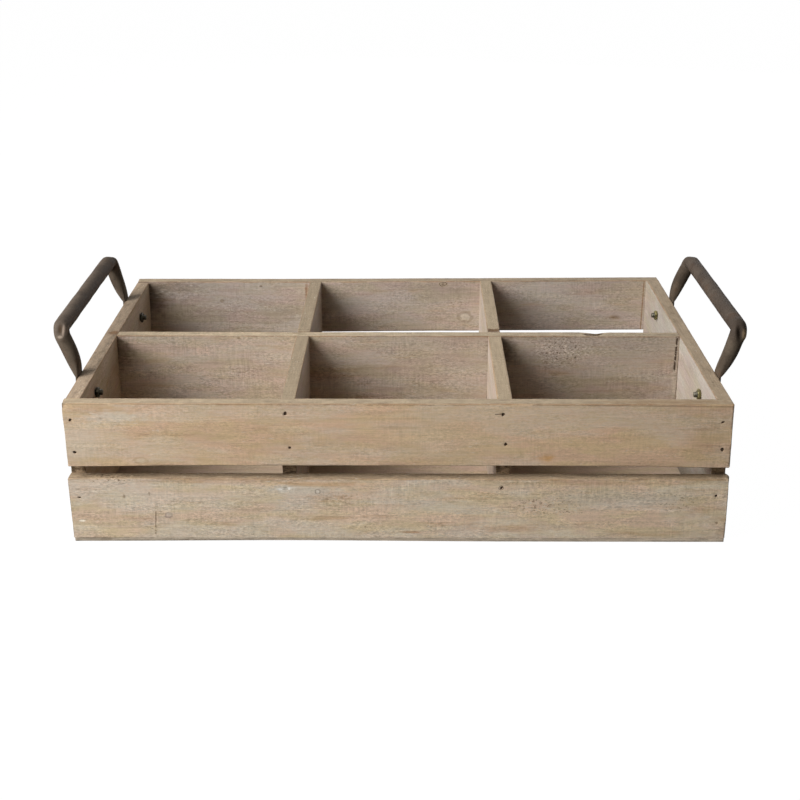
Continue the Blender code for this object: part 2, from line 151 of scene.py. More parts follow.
# Wood. A colour is a hex code, as a picture shows it, and a tint multiplies one.
HEART_DEPTH = 0.03
HEART_SWAY = 0.030
RING_WIDTH = 0.0042
OLIVE_TINT = (0.985, 1.000, 0.935, 1.0)
PINK_TINT = (1.030, 0.980, 1.030, 1.0)
HALF_LENGTH = 0.25
# Height over which the painted shade towards the bottom of a board fades out
FOOT_SHADE_HEIGHT = 0.05
WOOD_BUMP = (0.00035, 0.6)
WARM_PATCH = "b08c68"
STAIN = "706048"
ARRIS = "94704c"
END_GRAIN_DARK = "665440"
END_GRAIN_LIGHT = "aa9276"
PALE_FLECK = "d6cdbe"
RUST = "806244"

# Handles. A dent has a place, reaches, a depth and the height of the ridge round it.
TUBE_DIAMETER = 0.0127
HANDLE_REACHES = {"left": 0.0138, "right": 0.0163}
HANDLE_RISE = 0.0370
BEND_RADIUS = 0.0066
FLAT_WIDTH = 0.017
FLAT_THICKNESS = 0.0026
TAB_GAP = 0.0003
TAB_OUT = TAB_GAP + FLAT_THICKNESS / 2
TAB_BELOW_BOLT = 0.009
TAB_TURN = 0.006
HANDLE_SIDES = 40
BEND_RINGS = 16
LEG_RINGS = 26
GRIP_RINGS = 90
TAB_RINGS = 14
LEG_FLATTENING = 3.0
LEG_FLATNESS = 0.08
HANDLE_DENTS = {
    "left": [
        ((-262.9, -108, 151.2), (4, 8, 8.2), 1.3, 0.3),
        ((-264, 102, 157), (12, 13, 5), 2, 0),
        ((-270.5, -104, 150), (3, 9, 12), 0.8, 0),
    ],
    "right": [
        ((265.6, -106.5, 149.5), (3.4, 8, 10), 1.8, 0.2),
        ((267.2, 102, 156.5), (6.5, 13, 5), 1.4, 0),
        ((272.5, -104, 142.5), (5, 11, 5), -1.4, 0),
    ],
}
HOLLOW_STEEPNESS = 2.2
RIDGE_WIDTH = 0.28
LEG_BOWS = {"left": (-0.0008, 0.0007), "right": (0.0012, -0.0008)}
PINCH_SHARE = 0.80
SWELL_SHARE = 1.06
ROUND_POWER = 2.0
FLAT_POWER = 4.5
FORGE_DEPTH = 0.00016
FORGE_SEED = 500
# Painted shade: the grip, above these heights, is made darker and cooler than the legs
GRIP_SHADE_TINT = (0.920, 0.925, 0.985, 1.0)
GRIP_SHADE_HEIGHTS = (0.140, 0.150)
STEEL_BUMP = (0.00008, 0.4)

# Fasteners. A nail's head is (wide share, narrow share, turn).
NAIL_RADIUS = 0.00105
NAIL_SHANK = 0.00065
NAIL_POINT = 0.0025
NAIL_HEAD_HEIGHT = 0.0006
NAIL_SINK = 0.0004
NAIL_CLEARANCE = 0.00012
NAIL_SIDES = 14
NAIL_SEED = 60
NAIL_HEADS = {
    "front_upper_nail_3": (1.4, 1.1, 1.1),
    "front_upper_nail_6": (1.5, 1.0, 1.5),
    "front_upper_nail_8": (1.5, 1.3, 1.5),
    "front_upper_nail_2": (1.2, 0.95, 2.5),
    "front_lower_nail_1": (1.4, 0.55, 0.05),
}
PAINTED_OVER = ("front_lower_nail_2", "front_lower_nail_3", "front_lower_nail_6")
RUST_RADII = (2.2, 1.8)
SHANK_RADIUS = 0.0024
BOLT_SIDES = 28
BOLT_HEAD_RADIUS = 0.0046
BOLT_HEAD_HEIGHT = 0.0029
BOLT_HEAD_PROFILE = ((1.0, 1.0), (1.0, 0.45), (0.94, 0.22), (0.78, 0.08), (0.50, 0.015))
THREAD_PITCH = 0.0008
THREAD_DEPTH = 0.0003
THREAD_START = 0.0004
THREAD_LENGTH = 0.0064
THREAD_STEPS = 6
SLOT_REACH = 1.2
SLOT_WIDTH = 0.0012
SLOT_DEPTH = 0.0014
SLOT_TURNS = (0.4, 1.9, 2.6, 1.1)
NUT_WIDTH = 0.008
NUT_HEIGHT = 0.0024
NUT_CHAMFER = 0.0005
NUT_CORNER_CHAMFER = 0.0008
NUT_SIDES = 48
NUT_TURNS = (0.35, 0.80, 0.15, 0.60)


def tone(code):
    """A hex colour in the light values that shaders take."""
    shares = [value / 255 for value in bytes.fromhex(code)]
    return (*[s / 12.92 if s <= 0.04045 else ((s + 0.055) / 1.055) ** 2.4 for s in shares], 1.0)


def mm(values):
    """Millimetres in metres."""
    return tuple(value / 1000 for value in values)


# Noise and falloffs for the shapes

def lattice_random(cells, seed):
    """A value from 0 to 1 for each whole-numbered place, the same in every run."""
    mixed = cells[:, 0] * 374761393 + cells[:, 1] * 668265263 + cells[:, 2] * 2147483647
    mixed = (mixed + seed * 144665) & 0xFFFFFFFF
    mixed = ((mixed ^ (mixed >> 13)) * 1274126177) & 0xFFFFFFFF
    return (mixed ^ (mixed >> 16)) / 0xFFFFFFFF


def smooth_noise(points, size, seed):
    """Noise from -1 to 1 whose bumps have this size along each axis."""
    scaled = points / np.array(mm(size))
    cell = np.floor(scaled).astype(np.int64)
    part = scaled - cell
    part = part * part * (3 - 2 * part)
    total = np.zeros(len(points))
    for corner in product((0, 1), repeat=3):
        weight = np.prod(np.where(corner, part, 1 - part), axis=1)
        total += weight * lattice_random(cell + np.array(corner), seed)
    return 2 * total - 1


def smooth_step(values, low, high):
    share = np.clip((values - low) / (high - low), 0, 1)
    return share * share * (3 - 2 * share)


def distances(points, centre, radii):
    """How far points lie from a place, where the radii are 1."""
    return np.linalg.norm((points - np.array(centre)) / np.array(radii), axis=1)


# Materials

class Shader:
    """Short names for the nodes of one material or world."""

    def __init__(self, owner):
        owner.use_nodes = True
        self.owner = owner
        self.tree = owner.node_tree

    def put(self, socket, value):
        if isinstance(value, bpy.types.NodeSocket):
            self.tree.links.new(value, socket)
        else:
            socket.default_value = value

    def add(self, kind, *values, **settings):
        """A new node with these settings, and with these values in its first sockets."""
        node = self.tree.nodes.new(kind)
        for key, value in settings.items():
            setattr(node, key, value)
        for socket, value in zip(node.inputs, values):
            self.put(socket, value)
        return node

    def attribute(self, name, kind="Fac"):
        return self.add("ShaderNodeAttribute", attribute_name=name).outputs[kind]

    def place(self):
        """Where a point is in the frame, in metres."""
        return self.add("ShaderNodeTexCoord").outputs["Object"]

    def split(self, vector):
        return self.add("ShaderNodeSeparateXYZ", vector).outputs

    def calc(self, operation, first, second=0.0, clamp=False):
        return self.add("ShaderNodeMath", first, second, operation=operation, use_clamp=clamp).outputs[0]

    def times(self, first, second):
        return self.calc("MULTIPLY", first, second)

    def plus(self, first, second):
        return self.calc("ADD", first, second)

    def vector(self, operation, first, second=(0, 0, 0)):
        node = self.add("ShaderNodeVectorMath", first, second, operation=operation)
        return node.outputs["Value" if operation in ("LENGTH", "DISTANCE", "DOT_PRODUCT") else "Vector"]

    def away(self, point, centre, radii):
        """How far a point is from a place, where the radii are 1."""
        offset = self.vector("SUBTRACT", point, centre)
        return self.vector("LENGTH", self.vector("DIVIDE", offset, radii))

    def noise(self, vector, sizes, detail=2.0, roughness=0.5, distortion=0.0, shift=None):
        """Noise from about 0.2 to 0.8 whose bumps have these sizes."""
        if shift:
            vector = self.vector("ADD", vector, shift)
        node = self.add("ShaderNodeTexNoise", self.vector("DIVIDE", vector, mm(sizes)))
        values = {"Scale": 1.0, "Detail": detail, "Roughness": roughness, "Distortion": distortion}
        for name, value in values.items():
            node.inputs[name].default_value = value
        return node.outputs["Fac"]

    def ramp(self, value, low, high, first=0.0, last=1.0):
        """A smooth step from first to last as the value goes from low to high."""
        values = (value, low, high, first, last)
        return self.add("ShaderNodeMapRange", *values, interpolation_type="SMOOTHSTEP").outputs["Result"]

    def mix(self, share, first, second, blend="MIX"):
        node = self.add("ShaderNodeMix", share, data_type="RGBA", blend_type=blend)
        self.put(node.inputs[6], first)
        self.put(node.inputs[7], second)
        return node.outputs[2]

    def shade(self, colour, factor):
        """The colour made lighter or darker by a factor around 1."""
        node = self.add("ShaderNodeVectorMath", colour, operation="SCALE")
        self.put(node.inputs["Scale"], factor)
        return node.outputs["Vector"]

    def facing(self, direction):
        """1 on faces that look this way, and 0 on the others."""
        normal = self.add("ShaderNodeNewGeometry").outputs["True Normal"]
        return self.ramp(self.vector("DOT_PRODUCT", normal, direction), 0.45, 0.75)

    def bump(self, height, distance, strength):
        node = self.add("ShaderNodeBump")
        for name, value in (("Height", height), ("Distance", distance), ("Strength", strength)):
            self.put(node.inputs[name], value)
        return node.outputs["Normal"]

    def finish(self, **values):
        """Sets the shader's own sockets, each named with _ for a space."""
        for name, value in values.items():
            self.put(self.tree.nodes["Principled BSDF"].inputs[name.replace("_", " ")], value)
        return self.owner


def new_shader(name):
    return Shader(bpy.data.materials.new(name))


@dataclass
class Wood:
    """How one board's wood looks."""
    body: str
    wash: str
    bare: str
    wash_share: float = 0.6
    warmth: float = 0.3
    streaks: float = 1.0
    speckle: float = 1.0
    saw: float = 1.0
    flecks: float = 0.3
    stained: float = 0.45
    # Painted light: how much brighter the wood is made at one end of the box than at the other, as the
    # light falls there
    slope: float = 0.0
    # Painted shade: how much darker the wood is made towards the bottom of the box
    foot_shade: float = 0.0
    mottle: float = 0.16


def own_colour(s, look, grain):
    """Growth rings round a heart that wanders below the board, and slow changes of tone."""
    along, across, through = s.split(grain)
    heart = s.add("ShaderNodeCombineXYZ", 0.0, across, s.plus(through, HEART_DEPTH)).outputs[0]
    sway = s.times(s.noise(grain, (220, 70, 70)), HEART_SWAY)
    radius = s.plus(s.vector("LENGTH", heart), sway)
    phase = s.calc("FRACT", s.calc("DIVIDE", radius, RING_WIDTH))
    ring = s.times(s.ramp(phase, 0.25, 0.85), s.ramp(phase, 0.90, 1.0, 1.0, 0.0))
    ring = s.times(ring, s.ramp(s.noise(grain, (90, 20, 20)), 0.40, 0.62, 0.0, 0.25))
    colour = s.mix(ring, tone(look.body), s.shade(tone(look.body)[:3], 0.72))
    drift = s.noise(grain, (110, 24, 24), 3.0, 0.55)
    return s.shade(colour, s.ramp(drift, 0.30, 0.70, 0.94, 1.06))


def tinted(s, look, grain, colour):
    """Hues that wander between olive and pinkish, and orange-brown patches along the grain."""
    hue = s.noise(grain, (34, 9, 9), 3.0, 0.6, shift=(5.1, 2.3, 7.7))
    tint = s.mix(s.ramp(hue, 0.36, 0.64), OLIVE_TINT, PINK_TINT)
    colour = s.mix(1.0, colour, tint, "MULTIPLY")
    warm = s.noise(grain, (60, 7, 7), 4.0, 0.6, shift=(1.3, 6.2, 3.9))
    return s.mix(s.ramp(warm, 0.54, 0.70, 0.0, look.warmth), colour, tone(WARM_PATCH))


def washed(s, look, grain, colour):
    """The wash, which stays in patches and breaks up over the fibres."""
    patch = s.ramp(s.noise(grain, (85, 20, 20), 4.0, 0.6, 0.3), 0.42, 0.60)
    broken = s.ramp(s.noise(grain, (4.2, 1.1, 1.1)), 0.30, 0.62, 0.45, 1.0)
    return s.mix(s.times(s.times(patch, broken), look.wash_share), colour, tone(look.wash))


def edged(s, look, grain, colour):
    """Bare, mottled narrow faces, orange-brown arrises and rough, dark end grain."""
    blotch = s.noise(grain, (14, 5, 5), 4.0, 0.65)
    mottled = s.ramp(blotch, 0.32, 0.68, 1 - look.mottle, 1 + look.mottle)
    dirt = s.noise(grain, (24, 7, 7), 4.0, 0.6, shift=(3.3, 8.1, 1.9))
    dirty = s.ramp(dirt, 0.56, 0.68, 0.0, look.stained)
    side = s.attribute("side")
    bare = s.mix(dirty, s.shade(tone(look.bare)[:3], mottled), tone(STAIN))
    colour = s.mix(side, colour, bare)
    rubbed = s.ramp(s.noise(grain, (30, 4, 4), 3.0, 0.6), 0.34, 0.58, 0.30, 0.95)
    worn = s.times(s.times(s.attribute("arris"), rubbed), s.ramp(side, 0.0, 1.0, 1.0, 0.35))
    colour = s.mix(worn, colour, tone(ARRIS))
    rough = s.ramp(s.noise(grain, (3.4, 2.4, 5), 4.0, 0.65), 0.38, 0.64)
    return s.mix(s.attribute("butt"), colour, s.mix(rough, tone(END_GRAIN_DARK), tone(END_GRAIN_LIGHT)))


def fibrous(s, look, grain, colour):
    """Fibres along the grain, saw marks across it, pores and short flecks, as colour and height."""
    fibre = s.noise(grain, (35, 1.2, 1.2), 4.0, 0.68, 0.4)
    pore = s.noise(grain, (2.4, 1, 1), 3.0, 0.7)
    saw = s.noise(grain, (1.4, 14, 14), 2.0, 0.6)
    rough = s.ramp(s.noise(grain, (40, 12, 12), 3.0, 0.6), 0.38, 0.62, 0.45, 1.45)
    sawn = s.ramp(s.noise(grain, (45, 22, 22), shift=(7.2, 1.1, 4.3)), 0.44, 0.62, 0.15, 1.5)
    light = s.plus(s.ramp(fibre, 0.30, 0.70, -0.085 * look.streaks, 0.065 * look.streaks), 1.0)
    sawing = s.times(sawn, s.ramp(saw, 0.30, 0.70, -0.036 * look.saw, 0.036 * look.saw))
    specks = s.ramp(pore, 0.28, 0.72, -0.115 * look.speckle, 0.115 * look.speckle)
    colour = s.shade(colour, s.plus(light, s.plus(sawing, s.times(rough, specks))))
    dash = s.noise(grain, (8, 1, 1))
    dark = s.times(rough, s.ramp(dash, 0.62, 0.74, 0.0, look.flecks))
    colour = s.mix(dark, colour, s.shade(colour, 0.62))
    chalk = s.noise(grain, (4.5, 1.1, 1.1), shift=(2.2, 4.4, 6.6))
    pale = s.times(rough, s.ramp(chalk, 0.64, 0.76, 0.0, look.flecks))
    colour = s.mix(pale, colour, tone(PALE_FLECK))
    height = s.plus(s.times(fibre, 0.9), s.times(saw, 0.30 * look.saw))
    height = s.plus(height, s.times(s.times(pore, rough), 0.55 * look.speckle))
    return colour, height, fibre


def wood_material(name, look, marks):
    """Washed softwood, from its own colour up to the marks on it, with painted light ramped along the
    box and painted shade towards the bottom.
    """
    s = new_shader(name)
    grain = s.attribute("grain", "Vector")
    colour = own_colour(s, look, grain)
    for layer in (tinted, washed, edged):
        colour = layer(s, look, grain, colour)
    x, y, z = s.split(s.place())
    # Painted light: brightness ramped from one end of the box to the other
    colour = s.shade(colour, s.ramp(x, -HALF_LENGTH, HALF_LENGTH, 1 - look.slope, 1 + look.slope))
    # Painted shade: darker towards the bottom, where less light reaches
    colour = s.shade(colour, s.ramp(z, 0.0, FOOT_SHADE_HEIGHT, 1 - look.foot_shade, 1.0))
    for mark in marks:
        colour = mark(s, colour)
    colour, height, fibre = fibrous(s, look, grain, colour)
    dull = s.ramp(fibre, 0.3, 0.7, 0.92, 0.78)
    bumps = s.bump(height, *WOOD_BUMP)
    return s.finish(Base_Color=colour, Roughness=dull, Specular_IOR_Level=0.25, Normal=bumps)


# Marks. All but spots lie on the faces that look one way: their places and sizes are x and z
# on faces that look forward, and x and y on faces that look up.

FORWARD = ((0, -1, 0), (1, 0, 1))
UPWARD = ((0, 0, 1), (1, 1, 0))


def on_face(face, pair, fill=0.0):
    """A pair of values in a face's plane as a vector in the frame."""
    first, second = mm(pair)
    return (first, fill, second) if face == FORWARD else (first, second, fill)


def in_plane(s, face):
    """Where a point is in the frame, with 0 for the axis that this face's plane hasn't."""
    return s.vector("MULTIPLY", s.place(), face[1])


def away_on(s, face, centre, radii):
    return s.away(in_plane(s, face), on_face(face, centre), on_face(face, radii, 1.0))


def fading(s, face, distance, near, far, strength):
    """A mark's share, which fades out from near to far and is 0 on faces that look elsewhere."""
    return s.times(s.ramp(distance, near, far, strength, 0.0), s.facing(face[0]))


def stain_or_shade(centre, radii, colour, strength=0.6, soft=0.7, face=FORWARD):
    """A stained patch, paint spot, broad streak or painted shade, broken up along the grain."""
    def draw(s, ground):
        wobble = s.ramp(s.noise(s.place(), (6, 3, 2), 3.0, 0.6), 0.25, 0.75, -0.25, 0.25)
        distance = s.plus(away_on(s, face, centre, radii), wobble)
        return s.mix(fading(s, face, distance, 1.0 - soft, 1.0, strength), ground, tone(colour))
    return draw


def knot(centre, radii, dark, light, strength, rings):
    """A knot in a front face: an uneven oval with rings, round its heart."""
    def draw(s, ground):
        wobble = s.ramp(s.noise(s.place(), (4, 3, 3)), 0.25, 0.75, -0.16, 0.16)
        distance = s.plus(away_on(s, FORWARD, centre, radii), wobble)
        wave = s.calc("SINE", s.times(distance, 2 * pi * rings))
        ringed = s.mix(s.ramp(wave, -0.8, 0.8), tone(dark), tone(light))
        return s.mix(fading(s, FORWARD, distance, 0.85, 1.1, strength), ground, ringed)
    return draw


def torn(centre, radii, dark, light, strength, face=FORWARD):
    """A patch of torn grain, with dark and light flecks."""
    def draw(s, ground):
        share = fading(s, face, away_on(s, face, centre, radii), 0.3, 1.0, strength)
        pits = s.noise(s.place(), (2.2, 1.8, 1.3), 2.0, 0.6)
        ground = s.mix(s.times(share, s.ramp(pits, 0.56, 0.66)), ground, tone(dark))
        return s.mix(s.times(share, s.ramp(pits, 0.34, 0.44, 1.0, 0.0)), ground, tone(light))
    return draw


def scratch(start, end, width, colour, strength, dash=2, whole=0.5, face=FORWARD):
    """A crack, scratch or saw line between two places, broken up where it isn't whole."""
    def draw(s, ground):
        first, last = Vector(on_face(face, start)), Vector(on_face(face, end))
        run = last - first
        offset = s.vector("SUBTRACT", in_plane(s, face), first)
        dot = s.vector("DOT_PRODUCT", offset, run)
        nearest = s.shade(run, s.calc("DIVIDE", dot, run.length_squared, clamp=True))
        broken = s.noise(s.place(), (dash, dash, dash), 2.0, 0.6)
        reach = s.ramp(broken, 0.62 - whole * 0.5, 0.72 - whole * 0.5, 0.0, width / 1000)
        distance = s.calc("SUBTRACT", s.vector("DISTANCE", offset, nearest), reach)
        return s.mix(fading(s, face, distance, -width / 1000, 0.0, strength), ground, tone(colour))
    return draw


def spot(centre, radii, colour, strength, soft=0.7):
    """A spot round a place in the frame, whichever way the skin looks there."""
    def draw(s, ground):
        distance = s.away(s.place(), mm(centre), mm(radii))
        return s.mix(s.ramp(distance, 1.0 - soft, 1.0, strength, 0.0), ground, tone(colour))
    return draw


# The boards' woods and marks

UPPER = Wood("cbaf8e", "d1c0ab", "a8967d", warmth=0.22, streaks=0.8, speckle=0.95, stained=0.25,
             slope=0.045)
LOWER = Wood("d3bda0", "d9d0c1", "a08b71", warmth=0.45, streaks=1.1, speckle=1.6, saw=1.7,
             flecks=0.55, slope=0.09)
INNER = Wood("b5a595", "bfb6ae", "a39179", wash_share=0.55, warmth=0.25, streaks=1.2, speckle=1.5,
             saw=1.6, flecks=0.5, slope=0.04)
CROSS = Wood("b2a291", "bcb2a8", "a49279", wash_share=0.55, streaks=1.1, speckle=1.2, saw=1.5,
             flecks=0.35, stained=0.08, slope=0.26, mottle=0.06)
LEFT_END = Wood("b29e85", "bcae9b", "9a8772", wash_share=0.55, streaks=1.1, speckle=1.3, saw=1.5,
                flecks=0.4)
MIDDLE = Wood("b7a591", "c1b6aa", "b2a086", wash_share=0.55, warmth=0.35, streaks=1, speckle=1.7,
              saw=1.7, flecks=0.6, slope=-0.08)
PALE = Wood("b5a899", "c1bbb1", "a9957c", wash_share=0.65, warmth=0.15, speckle=1, foot_shade=0.55,
            mottle=0.1)
PLY = Wood("b4a18c", "c2b4a0", "b7a895", wash_share=0.35, warmth=0.1, streaks=1.2, slope=0.15)
LOOKS = {
    "front_upper_slat": UPPER,
    "front_lower_slat": LOWER,
    "rear_upper_slat": INNER,
    "rear_lower_slat": INNER,
    "left_end_board": LEFT_END,
    "right_end_board": PALE,
    "long_divider": MIDDLE,
    "left_cross_divider": CROSS,
    "right_cross_divider": CROSS,
    "base_panel": PLY,
}
MARKS = {
    "front_upper_slat": [
        stain_or_shade((-213, 102), (32, 8), "cec4b4", 0.7, 0.9),
        stain_or_shade((-240, 85), (26, 33), "cabca8", 0.45, 0.9),
        stain_or_shade((2, 94), (28, 1.8), "967a5c", 0.5),
        stain_or_shade((30, 90), (80, 30), "d2ba9a", 0.4, 0.9),
        stain_or_shade((232, 88), (26, 35), "987858", 0.18, 0.9),
        stain_or_shade((229, 93), (24, 1.6), "9e7c5a", 0.38, 0.9),
        stain_or_shade((234, 80), (18, 1.4), "9e7c5a", 0.3, 0.9),
        stain_or_shade((200, -164), (70, 8), "92724e", 0.5, 0.8, UPWARD),
        knot((-194, 67), (6, 3), "b09676", "cdbca0", 0.5, 0.9),
        stain_or_shade((113, 69.5), (8, 3.8), "c6965a", 0.75, 0.9),
        scratch((100, 112.2), (250, 111.2), 0.9, "7e6244", 0.45, 12, 0.75),
        scratch((-150, 112), (50, 112), 0.6, "806242", 0.5, 8, 0.35),
        scratch((-85.9, 104.2), (-84.8, 106.3), 0.9, "3e2f20", 0.85, whole=0.9),
        scratch((72.2, 104.7), (79, 105.2), 0.7, "54402e", 0.85, whole=0.9),
    ],
    "front_lower_slat": [
        stain_or_shade((-72, 42), (45, 6), "d0c7b8", 0.6, 0.8),
        stain_or_shade((-62, 48.2), (50, 3), "c4986c", 0.5, 0.8),
        stain_or_shade((-86.5, 44.5), (12, 4.2), "dad4c8", 0.65, 0.9),
        stain_or_shade((-90, 43.7), (3.4, 1.1), "f4eee4", 0.9, 0.7),
        stain_or_shade((-83, 44), (1.2, 2), "f8f2e8", 0.9, 0.7),
        stain_or_shade((-86.2, 45.1), (2.4, 0.9), "968c76", 0.7),
        knot((-61.3, 41.7), (2.6, 2.6), "a09282", "dcd2c4", 0.7, 1.1),
        stain_or_shade((-242, 17.2), (2.8, 1), "eee4d0", 0.9, 0.5),
        stain_or_shade((243.5, 16), (1.3, 1.5), "80684e", 0.6),
        stain_or_shade((246.8, 15), (1.8, 1.3), "d0c2aa", 0.6),
        knot((-175.6, 22), (3.4, 2.8), "84746e", "b2a498", 0.6, 0.8),
        stain_or_shade((-173.8, 22.6), (2.4, 1.6), "c0b09c", 0.7),
        torn((-218, 50.5), (30, 3), "68503a", "cebeaa", 0.8),
        torn((-218, -163.5), (32, 7), "58422e", "c4ac8c", 0.9, UPWARD),
        torn((115, 30), (40, 12), "7a6650", "d0c6b6", 0.75),
        torn((210, 33), (30, 11), "84705a", "cec2b0", 0.6),
        stain_or_shade((160, 37), (75, 11), "c6baa8", 0.6, 0.9),
        stain_or_shade((85, 11.5), (50, 5), "b48c66", 0.4, 0.9),
        torn((-30, 36), (60, 10), "8e7a62", "d6ccbe", 0.4),
        scratch((-185.1, 25.4), (-186.1, 6), 0.8, "68523c", 0.8, 2, 0.5),
        scratch((-183.8, 21), (-184.5, 8), 0.3, "806a52", 0.6, whole=0.2),
        stain_or_shade((-208.6, 37.8), (1.4, 2), "6e5a44", 0.6),
        stain_or_shade((-189.4, 40), (1, 2.2), "7a644e", 0.5),
        stain_or_shade((243, 40.7), (2.2, 1.8), "d0c2ac", 0.5, 0.8),
        scratch((92.6, 35), (120, 34.2), 0.5, "705c46", 0.8, 1.2, 0.1),
        scratch((101, 30), (133, 29.2), 0.5, "705c46", 0.8, 1.2, 0.1),
        scratch((98, 25.5), (150, 24), 0.5, "705c46", 0.8, 1.2, 0.1),
        stain_or_shade((-25.5, 12.2), (1, 0.7), "56422e", 0.9),
        stain_or_shade((9, 8), (11, 1.3), "ac7c52", 0.6),
        knot((77.9, 45), (2.2, 2), "96826a", "d6cec0", 0.7, 1),
        stain_or_shade((150, 49.5), (100, 3.5), "ac805c", 0.35, 0.8),
        stain_or_shade((-150, 50), (100, 2.5), "b08864", 0.3, 0.8),
    ],
    "rear_upper_slat": [
        torn((56, 90), (18, 12), "786654", "d0c2b0", 0.5),
        torn((-150, 88), (50, 15), "867464", "ccc0b4", 0.4),
        torn((115, 100), (25, 12), "7a6858", "c6b8a8", 0.45),
        knot((42.3, 110.3), (4.5, 2.8), "705c48", "baaa94", 0.9, 2.5),
        knot((64, 77), (8.5, 6), "968670", "cdc2ae", 0.5, 0.9),
        stain_or_shade((-170.1, 95), (2.8, 2.4), "7e6a54", 0.55),
        stain_or_shade((-132.3, 109.2), (2.2, 1.4), "6e5c4a", 0.8),
        stain_or_shade((-88.5, 102), (2.6, 12), "966e4e", 0.55),
        stain_or_shade((-89.3, 104), (1, 9), "76543a", 0.5),
        stain_or_shade((208, 75.8), (10.5, 3.4), "8e7452", 0.55, 0.9),
        stain_or_shade((208, 76), (4.5, 1.2), "6e5234", 0.55, 0.9),
        scratch((236.2, 112), (235.2, 62), 1, "906e4c", 0.85, 6, 0.8),
        # Painted shade in the corner by the left end board, and along the top edge from it
        stain_or_shade((-238.5, 109), (75, 12), "605040", 0.45, 0.9),
        stain_or_shade((-238.5, 98), (22, 30), "504032", 0.6, 0.9),
    ],
    "long_divider": [
        stain_or_shade((-136.1, 111), (2.4, 1.4), "8c7256", 0.75),
        # Painted shade in the corners by the left end board and by the right cross divider
        stain_or_shade((-239, 98), (20, 24), "544436", 0.5, 0.9),
        stain_or_shade((87, 104), (18, 26), "4e3e30", 0.65, 0.9),
        scratch((-30, 78.5), (-18, 78), 0.5, "5c4a3a", 0.9, 1.4, 0.2),
        scratch((-3.2, 80.6), (18.3, 68.8), 0.4, "7c6854", 0.7, whole=0.5),
        stain_or_shade((236.5, 83), (2.2, 32), "c0b2a0", 0.8, 0.4),
        scratch((236.8, 114), (235.9, 82.5), 1.8, "382414", 1, 3, 0.54),
        torn((140, 100), (34, 19), "564636", "ded2c2", 1),
        stain_or_shade((30, 90), (50, 30), "c6b49e", 0.3, 0.9),
        spot((163.2, -0.2, 112.5), (8, 5, 3), "4e3822", 1, 0.5),
        torn((195, 79), (14, 7), "685644", "cec2b0", 0.45),
        torn((-130, 80), (30, 10), "806c5a", "ccbeae", 0.5),
        torn((-90, 70), (25, 12), "867260", "cec0b0", 0.5),
    ],
    "left_cross_divider": [scratch((-86.8, 12), (-73.2, 12), 0.9, "5c4630", 0.8, face=UPWARD)],
    "right_cross_divider": [stain_or_shade((81.7, 11.8), (9, 6), "684e36", 0.9, 0.3, UPWARD)],
    "right_end_board": [stain_or_shade((244.5, 58), (8, 8), "c4a886", 0.45)],
    "left_end_board": [
        stain_or_shade((-248.8, 58), (2.8, 8), "3e301e", 0.8, 0.6),
        stain_or_shade((-240.2, 58), (2.4, 8), "5c4a32", 0.7, 0.6),
        stain_or_shade((-243.2, 3.1), (6, 7.5), "785434", 0.75, face=UPWARD),
    ],
}


# Objects and meshes

def new_object(name, data):
    obj = bpy.data.objects.new(name, data)
    bpy.context.scene.collection.objects.link(obj)
    return obj


def new_mesh(name, points, faces):
    mesh = bpy.data.meshes.new(name)
    mesh.from_pydata(points, [], faces)
    return mesh


def point_array(mesh):
    values = np.zeros(len(mesh.vertices) * 3)
    mesh.vertices.foreach_get("co", values)
    return values.reshape(-1, 3)


def write_attribute(mesh, name, values):
    kind, key = ("FLOAT_VECTOR", "vector") if values.ndim == 2 else ("FLOAT", "value")
    attribute = mesh.attributes.new(name, kind, "POINT")
    attribute.data.foreach_set(key, np.ascontiguousarray(values, np.float32).ravel())


def add_piece(name, mesh, material, slot, *nodes):
    """A piece that rides on the box and stands for these CAD nodes."""
    piece = new_object(name, mesh)
    mesh.materials.append(material)
    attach(piece, BODY)
    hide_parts(*nodes)
    return piece


def smooth(piece, sharp):
    """Smooth shading, with edges sharp from this many degrees up."""
    piece.data.shade_smooth()
    piece.data.set_sharp_from_angle(angle=radians(sharp))


def circle(radius, sides):
    angles = [2 * pi * side / sides for side in range(sides)]
    return [(radius * cos(angle), radius * sin(angle)) for angle in angles]


def ring_at(place, outline, z):
    """An outline of (x, y) pairs at this height in a fastener's own frame."""
    return [place @ Vector((x, y, z)) for x, y in outline]


def loft(rings):
    """Points and faces of a closed skin over rings, with a fan at each end."""
    count = len(rings[0])
    points = [point for ring in rings for point in ring]
    faces = []
    for ring in range(len(rings) - 1):
        for side in range(count):
            beside = (side + 1) % count
            low, high = ring * count, (ring + 1) * count
            faces.append((low + side, low + beside, high + beside, high + side))
    for ring, flip in ((0, True), (len(rings) - 1, False)):
        centre = len(points)
        points.append(sum(rings[ring], Vector()) / count)
        for side in range(count):
            face = (ring * count + side, ring * count + (side + 1) % count, centre)
            faces.append(face[::-1] if flip else face)
    return points, faces


# Fasteners' places and the cuts that they need

def long_axis(node):
    """A fastener's own frame: its outer end as the origin, and Z along it, out of the box."""
    low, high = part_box(node)
    size = high - low
    axis = max(range(3), key=lambda i: size[i])
    middle = (low + high) / 2
    out = Vector([(1 if middle[i] > BOX_MIDDLE[i] else -1) if i == axis else 0 for i in range(3)])
    turn = Vector((0, 0, 1)).rotation_difference(out)
    return Matrix.Translation(middle + out * size[axis] / 2) @ turn.to_matrix().to_4x4(), size[axis]


def head_place(node):
    return long_axis(node)[0].translation


def touches(node, other):
    (low, high), (other_low, other_high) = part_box(node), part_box(other)
    return all(low[i] < other_high[i] and other_low[i] < high[i] for i in range(3))


def nails_in(board):
    return [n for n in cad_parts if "_nail_" in n and touches(n, board)]


